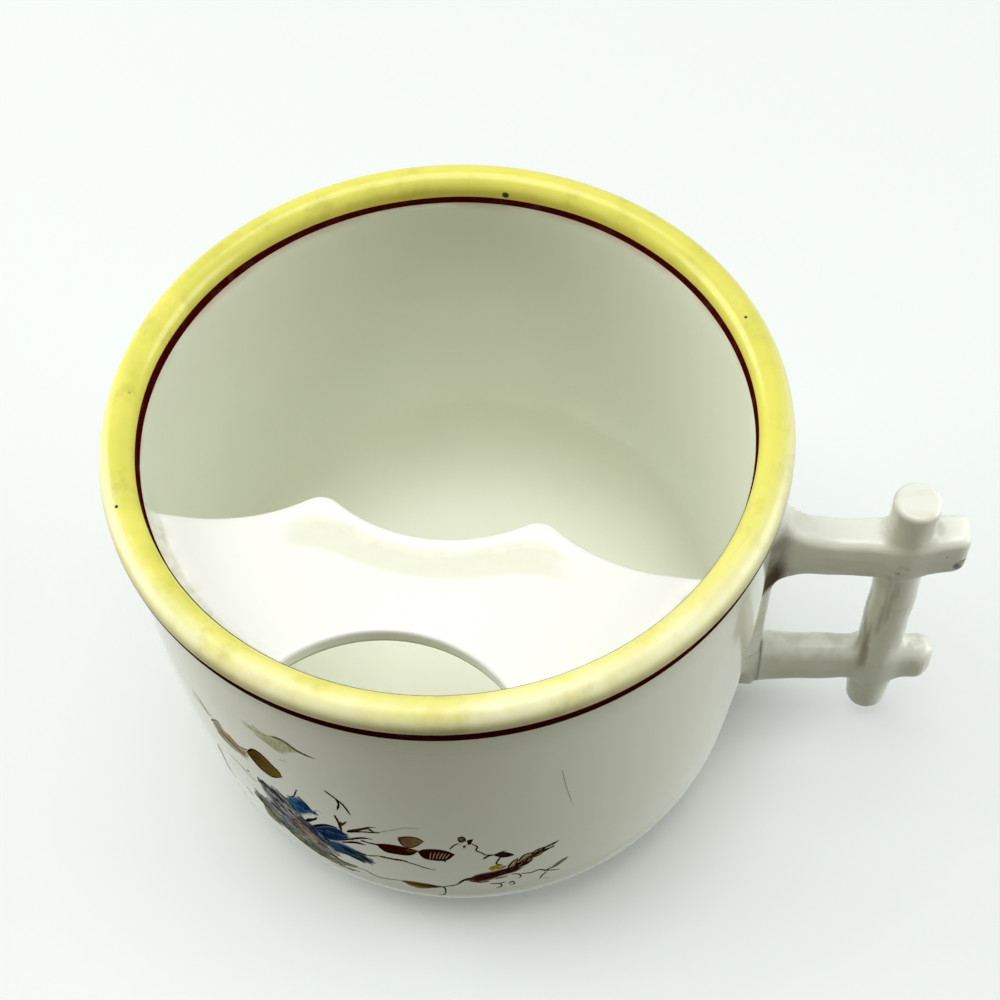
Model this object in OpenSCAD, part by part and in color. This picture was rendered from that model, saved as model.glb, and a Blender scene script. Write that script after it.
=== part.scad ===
// Mustache cup: a straight-sided porcelain cup with a scalloped guard shelf
// across part of the mouth and a square handle of crossed sticks.
// Millimetres. The origin is the centre of the foot on the table, Z is up and
// the handle points along +X.

/* [Body] */
// Outside diameter over the rolled rim
rim_d = 90; // [82:1:104]
// Height from the table to the top of the rim
cup_h = 74; // [68:1:88]
// Radius of the rim's round roll
rim_roll_r = 2.3; // [2:0.1:2.6]
// How far the roll stands out past the wall
rim_overhang = 1.4; // [1:0.1:1.8]
// Depth below the rim where the roll has run out into the wall, outside
shoulder_drop = 9.4; // [8:0.1:12]
// Depth below the rim where the roll has run out into the wall, inside
well_drop = 4.9; // [4.6:0.1:5]
// Thickness of the wall
wall_t = 3.5; // [3:0.1:4.4]
// How far the wall draws in from shoulder to lower corner
wall_draw = 2; // [0:0.1:4]
// How far the wall bows out between shoulder and lower corner
wall_bow = 1; // [0.2:0.1:2]
// Radius of the rounded lower corner, outside
corner_r = 13.5; // [10:0.5:15]
// Radius of the rounded lower corner, inside
well_corner_r = 16; // [12:0.5:18]
// Thickness of the floor above the foot recess
floor_t = 4; // [3:0.1:5]

/* [Foot] */
// Height of the foot ring
foot_h = 1.4; // [1:0.1:2]
// Width of the foot ring
foot_w = 3.4; // [2.5:0.1:5]
// How far the foot ring reaches out past the start of the lower corner
foot_out = 1; // [0.5:0.1:2]

/* [Guard] */
// Depth of the guard's lip below the rim
guard_drop = 5.9; // [5:0.1:12]
// Thickness of the guard's shelf
guard_t = 2.2; // [1.6:0.1:3]
// How far the guard is turned past square to the handle, degrees
guard_turn = 5; // [-15:1:15]
// Distance from the cup's axis to the middle of the notch
notch_reach = 15.4; // [13:0.1:18]
// Radius of the notch between the two points
notch_r = 22; // [20:0.5:26]
// Distance from the cup's axis to the straight ends of the edge
shelf_reach = 16.5; // [14:0.1:19]
// Radius of the curve outside each point
flank_r = 25; // [22:0.5:28]
// Sideways place where that curve meets the straight end
flank_end = 31; // [30:0.5:33]
// Rounding of the two points
point_r = 3.4; // [2.8:0.1:4]
// Width of the raised lip along the edge
lip_w = 2.2; // [1.5:0.1:2.4]
// Height of the raised lip
lip_h = 0.6; // [0.3:0.1:1]
// Width of the shallow channel behind the lip
channel_w = 5; // [3:0.1:7]
// Height of the shelf's plateau behind the channel
plateau_h = 0.4; // [0.2:0.1:0.8]
// Distance from the cup's axis to the crown of the drinking hole
hole_reach = 29.7; // [28:0.1:32]
// Radius of the drinking hole's arch
hole_r = 19.4; // [16:0.1:22]

/* [Handle] */
// How far the wall stick stands out from the shoulder of the cup
wall_stick_out = 1.2; // [1:0.1:2.5]
// Thickness of the wall stick where it stands clear of the cup
wall_stick_t = 2.5; // [2:0.1:4]
// Width of the wall stick
wall_stick_w = 6.4; // [6:0.1:8]
// Height of the wall stick's lower end
wall_stick_z0 = 7.6; // [6.5:0.1:8.4]
// Depth of the wall stick's upper end below the rim
wall_stick_drop = 16.6; // [13:0.1:18]
// Distance from the cup's shoulder to the middle of the outer stick
finger_reach = 19.1; // [16:0.1:26]
// Diameter of the outer stick
outer_stick_d = 6.6; // [6:0.1:8]
// Height of the outer stick's lower end
outer_stick_z0 = 3.5; // [2:0.1:6]
// Depth of the outer stick's upper end below the rim
outer_stick_drop = 15.7; // [12:0.1:18]
// Width of the two bars
bar_w = 5.8; // [4.8:0.1:5.8]
// Length of each bar's flared root
root_len = 6; // [4:0.1:8]
// How far the bars run past the outer stick's middle
bar_past = 8.2; // [6:0.1:10]
// Depth of the upper bar's middle below the rim, at its root
upper_bar_drop = 27.2; // [26:0.1:29]
// Rise of the upper bar from root to tip
upper_bar_rise = 2; // [0:0.1:3]
// How far the upper bar sags between them
upper_bar_sag = 1.5; // [0:0.1:2]
// Thickness of the upper bar where its root ends
upper_bar_h = 8.6; // [7:0.1:9]
// Height of the upper bar's flared root
upper_root_h = 15; // [12:0.1:16]
// Height of the lower bar's middle at its root
lower_bar_z = 14.2; // [14.2:0.1:17]
// Rise of the lower bar from root to tip
lower_bar_rise = 2.7; // [0:0.1:4]
// How far the lower bar sags between them
lower_bar_sag = 0.2; // [0:0.1:1.5]
// Thickness of the lower bar where its root ends
lower_bar_h = 9.4; // [7:0.1:9.6]
// Height of the lower bar's flared root
lower_root_h = 11.6; // [10:0.1:11.6]
// Thickness of each bar's tip as a share of the bar's own
bar_tip_share = 0.88; // [0.7:0.01:1]

/* [Enamel] */
// Thickness of the fired colour
enamel_t = 0.12; // [0.08:0.01:0.2]
// Width of the thin line inside the rim
inner_line_w = 0.75; // [0.5:0.05:1.2]
// Depth of the inner line's upper edge below the rim
inner_line_drop = 3.1; // [2.8:0.1:3.6]
// Width of the line outside, under the roll
outer_line_w = 2.1; // [1:0.1:2.6]
// Depth of the outer line's upper edge below the rim
outer_line_drop = 2.6; // [2.6:0.1:3.6]

/* [Hidden] */
$fn = 96;

porcelain = [0.90, 0.91, 0.86];
guard_white = [0.97, 0.98, 0.95];
rim_yellow = [0.94, 0.90, 0.52];
line_maroon = [0.33, 0.06, 0.05];

// Number of straight pieces along each kind of curve
bow_steps = 10;
corner_steps = 12;
roll_steps = 24;
blend_steps = 6;
edge_steps = 8;
ring_steps = 3;
root_steps = 4;
shaft_steps = 4;
// Overrun that takes a cut clear of what it cuts
over = 1;
// Two points closer than this are one point
nil = 0.001;

rim_r = rim_d / 2;
roll_c = [rim_r - rim_roll_r, cup_h - rim_roll_r];
shoulder_r = rim_r - rim_overhang;
waist_r = shoulder_r - wall_draw;
well_top_r = shoulder_r - wall_t;
well_low_r = waist_r - wall_t;

// Points of a round arc about c from angle a0 to a1
function arc(c, r, a0, a1, n) =
    [for (i = [0:n]) let (a = a0 + (a1 - a0) * i / n) c + r * [cos(a), sin(a)]];
// Points of a shallow bow from p to q that bulges by s to the right of p-q
function bowed(p, q, s, n) =
    let (d = q - p, u = [d[1], -d[0]] / norm(d))
    [for (i = [0:n]) let (t = i / n) p + d * t + u * (4 * s * t * (1 - t))];
// Points of a smooth curve with two handles between t0 and t1
function curve(p, c, d, q, t0, t1, n) =
    [for (i = [0:n]) let (t = t0 + (t1 - t0) * i / n, m = 1 - t)
        p * (m * m * m) + c * (3 * m * m * t) + d * (3 * m * t * t) + q * (t * t * t)];
function reversed(v) = [for (i = [len(v) - 1:-1:0]) v[i]];
// The same points with each repeated one left out
function distinct(v) = [for (i = [0:len(v) - 1]) if (i == 0 || norm(v[i] - v[i - 1]) > nil) v[i]];
function shifted(v, d) = [for (p = v) p + d];

// Outer side of the section, from the foot up to the roll
corner_c = [waist_r - corner_r, foot_h + corner_r];
foot_r = corner_c[0] + foot_out;
corner_low = -acos(foot_out / corner_r);
foot_edge = foot_h / 4;
outer_side = concat(
    [[foot_r, foot_edge]],
    arc(corner_c, corner_r, corner_low, 0, corner_steps),
    bowed([waist_r, corner_c[1]], [shoulder_r, cup_h - shoulder_drop], wall_bow, bow_steps));

// The roll over the top of the wall, with an optional skin of thickness t on it
function roll(t) = arc(roll_c, rim_roll_r + t, 0, 180, roll_steps);

// Each side runs from the roll to the wall, first down and then in.
// How far along its side a place is follows evenly from its depth below the rim.
outer_top = roll_c + [rim_roll_r, 0];
outer_low = [shoulder_r, cup_h - shoulder_drop];
inner_top = roll_c - [rim_roll_r, 0];
inner_low = [well_top_r, cup_h - well_drop];
function side(p, q, t0, t1) =
    let (pull = [0, (p[1] - q[1]) / 3])
    curve(p, p - pull, q + pull, q, t0, t1, blend_steps);
function along(drop, whole) = (drop - rim_roll_r) / (whole - rim_roll_r);
outer_from = along(outer_line_drop, shoulder_drop);
outer_to = along(outer_line_drop + outer_line_w, shoulder_drop);
inner_from = along(inner_line_drop, well_drop);
inner_to = along(inner_line_drop + inner_line_w, well_drop);
function outer_run(t0, t1) = side(outer_top, outer_low, t0, t1);
function inner_run(t0, t1) = side(inner_top, inner_low, t0, t1);

// The well that the drink fills, from its top edge down to the axis
floor_z = foot_h + floor_t;
well_c = [well_low_r - well_corner_r, floor_z + well_corner_r];
well_side = concat(
    reversed(bowed([well_low_r, well_c[1]], inner_low, wall_bow, bow_steps)),
    arc(well_c, well_corner_r, 0, -90, corner_steps),
    [[0, floor_z]]);

module cup_body() {
    color(porcelain)
    rotate_extrude()
    polygon(distinct(concat(
        [[0, foot_h], [foot_r - foot_w, foot_h], [foot_r - foot_w, 0], [foot_r - foot_edge, 0]],
        outer_side, outer_run(1, outer_to), outer_run(outer_to, outer_from),
        outer_run(outer_from, 0), roll(0), inner_run(0, inner_from),
        inner_run(inner_from, inner_to), inner_run(inner_to, 1), well_side)));
}

// Everything inside the cup's outer skin
module filled_cup() {
    rotate_extrude()
    polygon(distinct(concat([[0, foot_edge]], outer_side, [[0, cup_h - shoulder_drop]])));
}

// A colour skin between two copies of the same stretch of the section
module skin(inside, outside) {
    rotate_extrude() polygon(distinct(concat(inside, reversed(outside))));
}
module rim_band() {
    outer = outer_run(outer_from, 0);
    inner = inner_run(0, inner_from);
    color(rim_yellow)
    skin(concat(outer, roll(0), inner),
         concat(shifted(outer, [enamel_t, 0]), roll(enamel_t), shifted(inner, [-enamel_t, 0])));
}
module inner_line() {
    run = inner_run(inner_from, inner_to);
    color(line_maroon) skin(run, shifted(run, [-enamel_t, 0]));
}
module outer_line() {
    run = outer_run(outer_to, outer_from);
    color(line_maroon) skin(run, shifted(run, [enamel_t, 0]));
}

// The guard is drawn with its middle along -Y and then turned.
// Its edge is the notch, a rounded point, a flank and a straight end,
// drawn back by t from the real edge.
notch_c = [0, notch_reach - notch_r];
point_least_r = point_r / 5;
flank_c = [flank_end, shelf_reach - flank_r];
// Middle of a circle that is a from the notch's middle and b from the flank's
function point_c(a, b) =
    let (v = flank_c - notch_c, l = norm(v),
         x = (a * a - b * b + l * l) / (2 * l), y = sqrt(a * a - x * x))
    notch_c + v / l * x + [-v[1], v[0]] / l * y;
function heading(v) = atan2(v[1], v[0]);
function half_edge(t) =
    let (r = max(point_r - t, point_least_r),
         p = point_c(notch_r + t + r, flank_r + t + r),
         to_p = heading(p - notch_c), from_p = heading(p - flank_c))
    concat(
        arc(notch_c, notch_r + t, 90, to_p, edge_steps),
        arc(p, r, to_p - 180, from_p - 180, edge_steps),
        arc(flank_c, flank_r + t, from_p, 90, edge_steps));
function mirrored(v) = reversed([for (p = v) [-p[0], p[1]]]);
function edge_line(t) = distinct(
    concat([[-rim_r, shelf_reach + t]], mirrored(half_edge(t)), half_edge(t),
           [[rim_r, shelf_reach + t]]));
function guard_outline(t) = concat([[-rim_r, rim_r]], edge_line(t), [[rim_r, rim_r]]);

module guard_layer(z, h, t) {
    translate([0, 0, z]) linear_extrude(h) mirror([0, 1]) polygon(guard_outline(t));
}
module channel_cut(z, h) {
    translate([0, 0, z]) linear_extrude(h) mirror([0, 1])
    polygon(concat(edge_line(lip_w), reversed(edge_line(lip_w + channel_w))));
}
guard_top = cup_h - guard_drop;
shelf_top = guard_top - lip_h;
shelf_low = shelf_top - guard_t;
// The stretch of the well that the guard is let into
function well_r(z) = lookup(z, [for (p = well_side) [p[1], p[0]]]);
module guard_plug() {
    rotate_extrude()
    polygon([[0, shelf_low], [well_r(shelf_low), shelf_low], [well_r(guard_top), guard_top],
             [0, guard_top]]);
}

module mustache_guard() {
    color(guard_white)
    rotate(-guard_turn)
    difference() {
        intersection() {
            guard_plug();
            guard_layer(shelf_low, guard_top - shelf_low, 0);
        }
        guard_layer(shelf_top + plateau_h, lip_h, lip_w);
        channel_cut(shelf_top, lip_h);
        translate([0, -hole_reach - hole_r, shelf_low - over])
        cylinder(r = hole_r, h = guard_top - shelf_low + 2 * over);
    }
}

// The wall stick's outer face, and the middle of the outer stick
root_x = shoulder_r + wall_stick_out;
outer_x = shoulder_r + finger_reach;
// The handle's upper ends and bar keep their place below the rim
wall_stick_z1 = cup_h - wall_stick_drop;
outer_stick_z1 = cup_h - outer_stick_drop;
upper_bar_z = cup_h - upper_bar_drop;

module handle_wall_stick() {
    bevel = wall_stick_t / 4;
    back_x = root_x - wall_stick_t;
    half_w = wall_stick_w / 2;
    color(porcelain)
    difference() {
        translate([0, 0, wall_stick_z0])
        linear_extrude(wall_stick_z1 - wall_stick_z0)
        polygon([[back_x, -half_w], [root_x - bevel, -half_w], [root_x, bevel - half_w],
                 [root_x, half_w - bevel], [root_x - bevel, half_w], [back_x, half_w]]);
        filled_cup();
    }
}

// A ring of points round a bar's section, w wide and h high, with rounded corners
bar_round = bar_w / 3;
function ring(x, z, w, h) =
    let (r = bar_round * w / bar_w, y = w / 2 - r, v = h / 2 - r)
    [for (q = [0:3]) let (m = [[y, v], [-y, v], [-y, -v], [y, -v]][q])
        each [for (p = arc(m, r, 90 * q, 90 * q + 90, ring_steps)) [x, p[0], z + p[1]]]];
// A closed solid through rings of n points
module loft(rings) {
    n = len(rings[0]);
    last = len(rings) - 1;
    polyhedron(
        [for (r = rings) each r],
        concat(
            [[for (j = [0:n - 1]) j], [for (j = [n - 1:-1:0]) last * n + j]],
            [for (i = [0:last - 1], j = [0:n - 1])
                [i * n + j, (i + 1) * n + j, (i + 1) * n + (j + 1) % n]],
            [for (i = [0:last - 1], j = [0:n - 1])
                [i * n + j, (i + 1) * n + (j + 1) % n, i * n + (j + 1) % n]]));
}

// One bar from the wall stick out past the outer stick.
// Its root flares in a hollow curve, and its tip has a small bevel.
module bar(z, rise, sag, h, root_h) {
    length = outer_x + bar_past - root_x;
    bevel = h / 8;
    function mid_z(x) = let (t = x / length) z + rise * t - 4 * sag * t * (1 - t);
    function high(x) = h + h * (bar_tip_share - 1) * x / length
        + (root_h - h) * pow(max(0, 1 - x / root_len), 2);
    stops = concat(
        [for (i = [0:root_steps]) root_len * i / root_steps],
        [for (i = [1:shaft_steps]) root_len + (length - bevel - root_len) * i / shaft_steps]);
    loft(concat(
        [for (x = stops) ring(root_x + x, mid_z(x), bar_w, high(x))],
        [ring(root_x + length, mid_z(length), bar_w - 2 * bevel, high(length) - 2 * bevel)]));
}
module upper_bar() {
    bar(upper_bar_z, upper_bar_rise, upper_bar_sag, upper_bar_h, upper_root_h);
}
module lower_bar() {
    bar(lower_bar_z, lower_bar_rise, lower_bar_sag, lower_bar_h, lower_root_h);
}
module handle_upper_bar() {
    color(porcelain) upper_bar();
}
module handle_lower_bar() {
    color(porcelain) lower_bar();
}

// The outer stick has a mortise for each bar to pass through
module handle_outer_stick() {
    r = outer_stick_d / 2;
    top_round = r / 4;
    low_round = r / 2;
    color(porcelain)
    difference() {
        translate([outer_x, 0, 0])
        rotate_extrude()
        polygon(concat(
            [[0, outer_stick_z0]],
            arc([r - low_round, outer_stick_z0 + low_round], low_round, -90, 0, blend_steps),
            arc([r - top_round, outer_stick_z1 - top_round], top_round, 0, 90, blend_steps),
            [[0, outer_stick_z1]]));
        upper_bar();
        lower_bar();
    }
}

cup_body();
mustache_guard();
handle_wall_stick();
handle_upper_bar();
handle_lower_bar();
handle_outer_stick();
rim_band();
inner_line();
outer_line();
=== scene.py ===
"""Mustache cup: rolled rim, scalloped guard, crossed-stick handle and printed flowers."""
import math
import bpy
import numpy as np
from bpy.props import FloatProperty, FloatVectorProperty, IntProperty, PointerProperty
from mathutils import Matrix, Vector


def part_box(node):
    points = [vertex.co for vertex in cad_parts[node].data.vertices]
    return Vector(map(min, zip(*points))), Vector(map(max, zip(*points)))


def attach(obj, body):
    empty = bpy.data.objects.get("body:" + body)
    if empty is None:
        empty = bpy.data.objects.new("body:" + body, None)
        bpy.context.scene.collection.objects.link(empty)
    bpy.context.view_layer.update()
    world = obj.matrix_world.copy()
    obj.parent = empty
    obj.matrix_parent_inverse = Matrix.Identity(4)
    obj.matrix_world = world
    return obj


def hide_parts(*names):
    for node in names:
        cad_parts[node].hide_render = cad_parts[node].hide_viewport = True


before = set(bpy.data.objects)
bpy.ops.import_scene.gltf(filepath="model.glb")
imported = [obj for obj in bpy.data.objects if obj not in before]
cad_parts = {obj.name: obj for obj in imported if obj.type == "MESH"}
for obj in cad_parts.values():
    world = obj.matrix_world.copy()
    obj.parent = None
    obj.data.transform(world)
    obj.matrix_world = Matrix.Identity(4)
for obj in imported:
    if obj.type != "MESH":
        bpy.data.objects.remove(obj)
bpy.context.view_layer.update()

bl_info = {
    "name": "Mustache cup",
    "version": (1, 0, 0),
    "blender": (4, 5, 0),
    "location": "View3D > Sidebar > Cup",
    "description": "Builds the visible pieces of a mustache cup round its packed solids",
    "category": "Add Mesh",
}

MM = 0.001
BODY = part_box("cup_body")
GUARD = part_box("mustache_guard")
WALL_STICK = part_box("handle_wall_stick")
OUTER_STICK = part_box("handle_outer_stick")
UPPER_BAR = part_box("handle_upper_bar")
LOWER_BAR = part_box("handle_lower_bar")
INNER_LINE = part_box("inner_line")
OUTER_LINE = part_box("outer_line")


# Sizes and colours that a user would change


def screen(r, g, b):
    """A screen colour from 0 to 255 as the linear one that a shader takes."""
    return tuple((c / 255 / 12.92) if c <= 10 else ((c / 255 + 0.055) / 1.055) ** 2.4
                 for c in (r, g, b))


def length(name, description, metres):
    """A length in metres that a user may change."""
    return FloatProperty(name=name, description=description, default=metres, min=0,
                         precision=5, unit="LENGTH")


def colour(name, description, r, g, b):
    """A colour that a user may change, from its screen colour."""
    return FloatVectorProperty(name=name, description=description, subtype="COLOR", size=3,
                               min=0, max=1, default=screen(r, g, b))


class CupBodySizes(bpy.types.PropertyGroup):
    rim_r: length("Rim radius", "Outside radius over the rolled rim", BODY[1].x)
    height: length("Height", "From the table to the top of the rim", BODY[1].z)
    roll_r: length("Roll radius", "Radius of the rim's round roll", 2.3 * MM)
    overhang: length("Overhang", "How far the roll stands out past the wall", 1.4 * MM)
    shoulder_drop: length("Shoulder drop", "Depth where the roll has run out outside", 9.4 * MM)
    well_drop: length("Well drop", "Depth where the roll has run out inside", 4.9 * MM)
    wall_t: length("Wall thickness", "Thickness of the wall", 3.5 * MM)
    wall_draw: length("Wall draw", "How far the wall draws in on the way down", 2 * MM)
    wall_bow: length("Wall bow", "How far the wall bows out", 1 * MM)
    corner_r: length("Outer corner", "Radius of the lower corner outside", 13.5 * MM)
    bowl_h: length("Bowl height", "Height over which the well rounds into its floor", 20 * MM)
    bowl_power: FloatProperty(name="Bowl squareness", description="How square the well's corner is",
                              default=3.5, min=2, max=8)
    floor_t: length("Floor thickness", "Thickness of the floor", 4 * MM)
    foot_h: length("Foot height", "Height of the foot ring", 1.4 * MM)
    foot_w: length("Foot width", "Width of the foot ring", 3.4 * MM)
    foot_out: length("Foot reach", "How far the foot reaches out past the corner", 1 * MM)
    foot_round: length("Foot rounding", "Rounding of the foot ring's edges", 0.4 * MM)
    segments: IntProperty(name="Segments", description="Steps round the cup", default=288, min=24)


class GuardSizes(bpy.types.PropertyGroup):
    top: length("Lip height", "Height of the lip's top above the table", GUARD[1].z)
    low: length("Underside height", "Height of the underside above the table", GUARD[0].z)
    turn: FloatProperty(name="Turn", description="Turn past square to the handle",
                        default=math.radians(5), unit="ROTATION")
    notch_reach: length("Notch reach", "From the axis to the middle of the notch", 15.4 * MM)
    notch_r: length("Notch radius", "Radius of the notch between the points", 22 * MM)
    shelf_reach: length("Shelf reach", "From the axis to the straight ends", 16.5 * MM)
    flank_r: length("Flank radius", "Radius of the curve outside each point", 25 * MM)
    flank_end: length("Flank end", "Sideways place where the flank ends", 31 * MM)
    point_r: length("Point rounding", "Rounding of the two points", 3.4 * MM)
    lip_w: length("Lip width", "Width of the raised lip", 2.2 * MM)
    lip_h: length("Lip rise", "Height of the raised lip", 0.5 * MM)
    channel_w: length("Channel width", "Width of the channel behind the lip", 5 * MM)
    plateau_h: length("Plateau rise", "Height of the shelf behind the channel", 0.4 * MM)
    relief_from: length("Relief fades from", "Sideways place where lip and channel fade", 13 * MM)
    relief_to: length("Relief fades to", "Sideways place where they have gone", 22 * MM)
    hole_reach: length("Hole reach", "From the axis to the drinking hole's crown", 29.7 * MM)
    hole_r: length("Hole radius", "Radius of the drinking hole's arch", 19.4 * MM)
    fillet: length("Fillet", "Size of the slip fillet where the guard meets the wall", 1.9 * MM)
    grain: length("Mesh step", "Step of the guard's mesh", 0.3 * MM)


class HandleSizes(bpy.types.PropertyGroup):
    stick_face: length("Wall stick face", "From the axis to the stick's face", WALL_STICK[1].x)
    stick_half_w: length("Wall stick half width", "Half the stick's width", WALL_STICK[1].y)
    stick_low: length("Wall stick foot", "Height of its lower end", WALL_STICK[0].z)
    stick_top: length("Wall stick head", "Height of its upper end", WALL_STICK[1].z)
    post_x: length("Outer stick reach", "From the axis to its middle",
                   (OUTER_STICK[0].x + OUTER_STICK[1].x) / 2)
    post_r: length("Outer stick radius", "Radius of the outer stick", OUTER_STICK[1].y)
    post_low: length("Outer stick foot", "Height of its lower end", OUTER_STICK[0].z)
    post_top: length("Outer stick head", "Height of its upper end", OUTER_STICK[1].z)
    bar_half_w: length("Bar half width", "Half the bars' width", UPPER_BAR[1].y)
    bar_tip: length("Bar reach", "From the axis to the bars' tips", UPPER_BAR[1].x)
    root_len: length("Root length", "Length of each bar's flared root", 6 * MM)
    tip_share: FloatProperty(name="Tip share", description="Tip thickness over bar thickness",
                             default=0.88, min=0.5, max=1)
    upper_top: length("Upper root top", "Height of the upper root's top", UPPER_BAR[1].z)
    upper_root_h: length("Upper root height", "Height of the upper flared root", 15 * MM)
    upper_h: length("Upper bar thickness", "Thickness past the root", 8.6 * MM)
    upper_rise: length("Upper bar rise", "Rise from root to tip", 2 * MM)
    upper_sag: length("Upper bar sag", "Sag between root and tip", 1.5 * MM)
    lower_foot: length("Lower root foot", "Height of the lower root's underside", LOWER_BAR[0].z)
    lower_root_h: length("Lower root height", "Height of the lower flared root", 11.6 * MM)
    lower_h: length("Lower bar thickness", "Thickness past the root", 9.4 * MM)
    lower_rise: length("Lower bar rise", "Rise from root to tip", 2.7 * MM)
    lower_sag: length("Lower bar sag", "Sag between root and tip", 0.2 * MM)
    join: length("Join", "How softly the sticks run into each other", 1.3 * MM)
    lower_join: length("Lower join", "The same where the outer stick meets the lower bar",
                       2.3 * MM)
    groove: length("Groove", "The same at the lower bar's root", 0.4 * MM)
    luting: length("Luting", "Spread of the slip between wall stick and wall", 2.6 * MM)
    grain: length("Mesh step", "Step of the handle's mesh", 0.28 * MM)


class EnamelSizes(bpy.types.PropertyGroup):
    film: length("Film", "How far the fired colour stands on the glaze", 0.05 * MM)
    inner_top: length("Inner line top", "Height of its upper edge", INNER_LINE[1].z)
    inner_low: length("Inner line foot", "Height of its lower edge", INNER_LINE[0].z)
    inner_climb: length("Inner line climb", "How much higher its upper edge is at the front",
                        1.95 * MM)
    outer_top: length("Outer line top", "Height of its upper edge", OUTER_LINE[1].z)
    outer_low: length("Outer line foot", "Height of its lower edge",
                      OUTER_LINE[0].z - 0.3 * MM)


class CupColours(bpy.types.PropertyGroup):
    outside: colour("Outside glaze", "Greyish white of the outer wall", 227, 227, 209)
    inside: colour("Inside glaze", "Greenish white of the well", 241, 244, 229)
    # Painted shade of the upper well, darker than the inside glaze.
    well_top: colour("Well top", "Duller glaze under the rim inside", 232, 235, 218)
    guard: colour("Guard glaze", "White of the guard", 245, 246, 240)
    channel: colour("Channel", "Duller glaze of the guard's channel", 234, 236, 216)
    handle: colour("Handle glaze", "White of the handle", 250, 252, 241)
    halo: colour("Halo", "Pink that has bled from the maroon lines", 206, 172, 158)
    # Dirt in crevices; the same colour is also laid as painted shade below the rim's roll outside.
    grime_and_shade: colour("Grime", "Old dirt in the crevices", 118, 109, 66)
    root_grime: colour("Root grime", "Dark dirt at the handle's root", 70, 55, 20)
    bisque: colour("Bisque", "Bare clay of the foot's face", 214, 204, 180)
    yellow: colour("Rim yellow", "Full strength of the yellow band", 234, 228, 104)
    # Pale of worn places, and of the painted highlight on the roll's outer and upper side.
    pale: colour("Worn yellow", "Where the band is worn thin", 250, 248, 204)
    orange: colour("Deep yellow", "Where the band meets the inner line", 216, 196, 72)
    olive_stain: colour("Olive stain", "Greenish patches of the band", 190, 190, 72)
    under_roll: colour("Under the roll", "Brownish yellow under the rim's roll", 178, 165, 98)
    maroon: colour("Maroon", "The two lines", 62, 7, 3)
    speck: colour("Speck", "Iron specks in the glaze", 40, 34, 28)


class FlowerSizes(bpy.types.PropertyGroup):
    lay_r: length("Laying radius", "Radius of the wall where the spray is laid", 42.5 * MM)
    film: length("Film", "How far a wash stands on the glaze", 0.012 * MM)
    step: length("Step", "Spacing of the points along a stroke", 0.3 * MM)
    outline_w: length("Outline width", "Width of the line round a leaf", 0.24 * MM)
    fullness: FloatProperty(name="Fullness", description="Brush marks in each bundle",
                            default=1, min=0.1, max=4)
    seed: IntProperty(name="Seed", description="Fixes where the brush marks fall", default=7)


class InkColours(bpy.types.PropertyGroup):
    dark: colour("Dark", "Outlines and twigs", 42, 29, 16)
    grey: colour("Grey", "Faint grasses", 205, 210, 179)
    smoke: colour("Smoke", "Grey wash", 147, 144, 131)
    twig: colour("Twig", "Beige of the broken twig", 179, 162, 128)
    brown: colour("Brown", "Red-brown leaf", 92, 47, 27)
    olive: colour("Olive", "Olive half of the leaf", 130, 114, 50)
    faded: colour("Faded", "Faded leaf", 221, 226, 186)
    moss: colour("Moss", "Grey-green stems", 125, 122, 93)
    slate: colour("Slate", "Blue-grey feather", 93, 106, 115)
    violet: colour("Violet", "Grey-violet wash", 166, 157, 166)
    navy: colour("Navy", "Dark lines of the petals", 19, 35, 54)
    white: colour("White", "Bare glaze between the washes", 238, 238, 238)
    mauve: colour("Mauve", "Mauve band", 166, 125, 134)
    pink: colour("Pink", "Pale lines in the maroon leaf", 238, 195, 166)
    wine: colour("Wine", "Maroon leaves", 72, 22, 14)
    sky: colour("Sky", "Light blue of the petals", 72, 136, 196)
    blue: colour("Blue", "Full blue of the petals", 24, 74, 142)
    rust: colour("Rust", "Rust spray", 147, 80, 48)
    gold: colour("Gold", "Ochre leaf", 157, 122, 48)
    yellow: colour("Olive yellow", "Dabs by the spray", 221, 195, 64)


# The spray of flowers on the wall
#
# It is drawn stroke by stroke. A point is a turn in degrees and a height in millimetres. A leaf
# has the ink at its start and at its end, the ink of its outline, how well it covers, and the
# points of its two edges. A line has its two inks, its width in millimetres, how well it covers,
# and its points.

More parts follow.
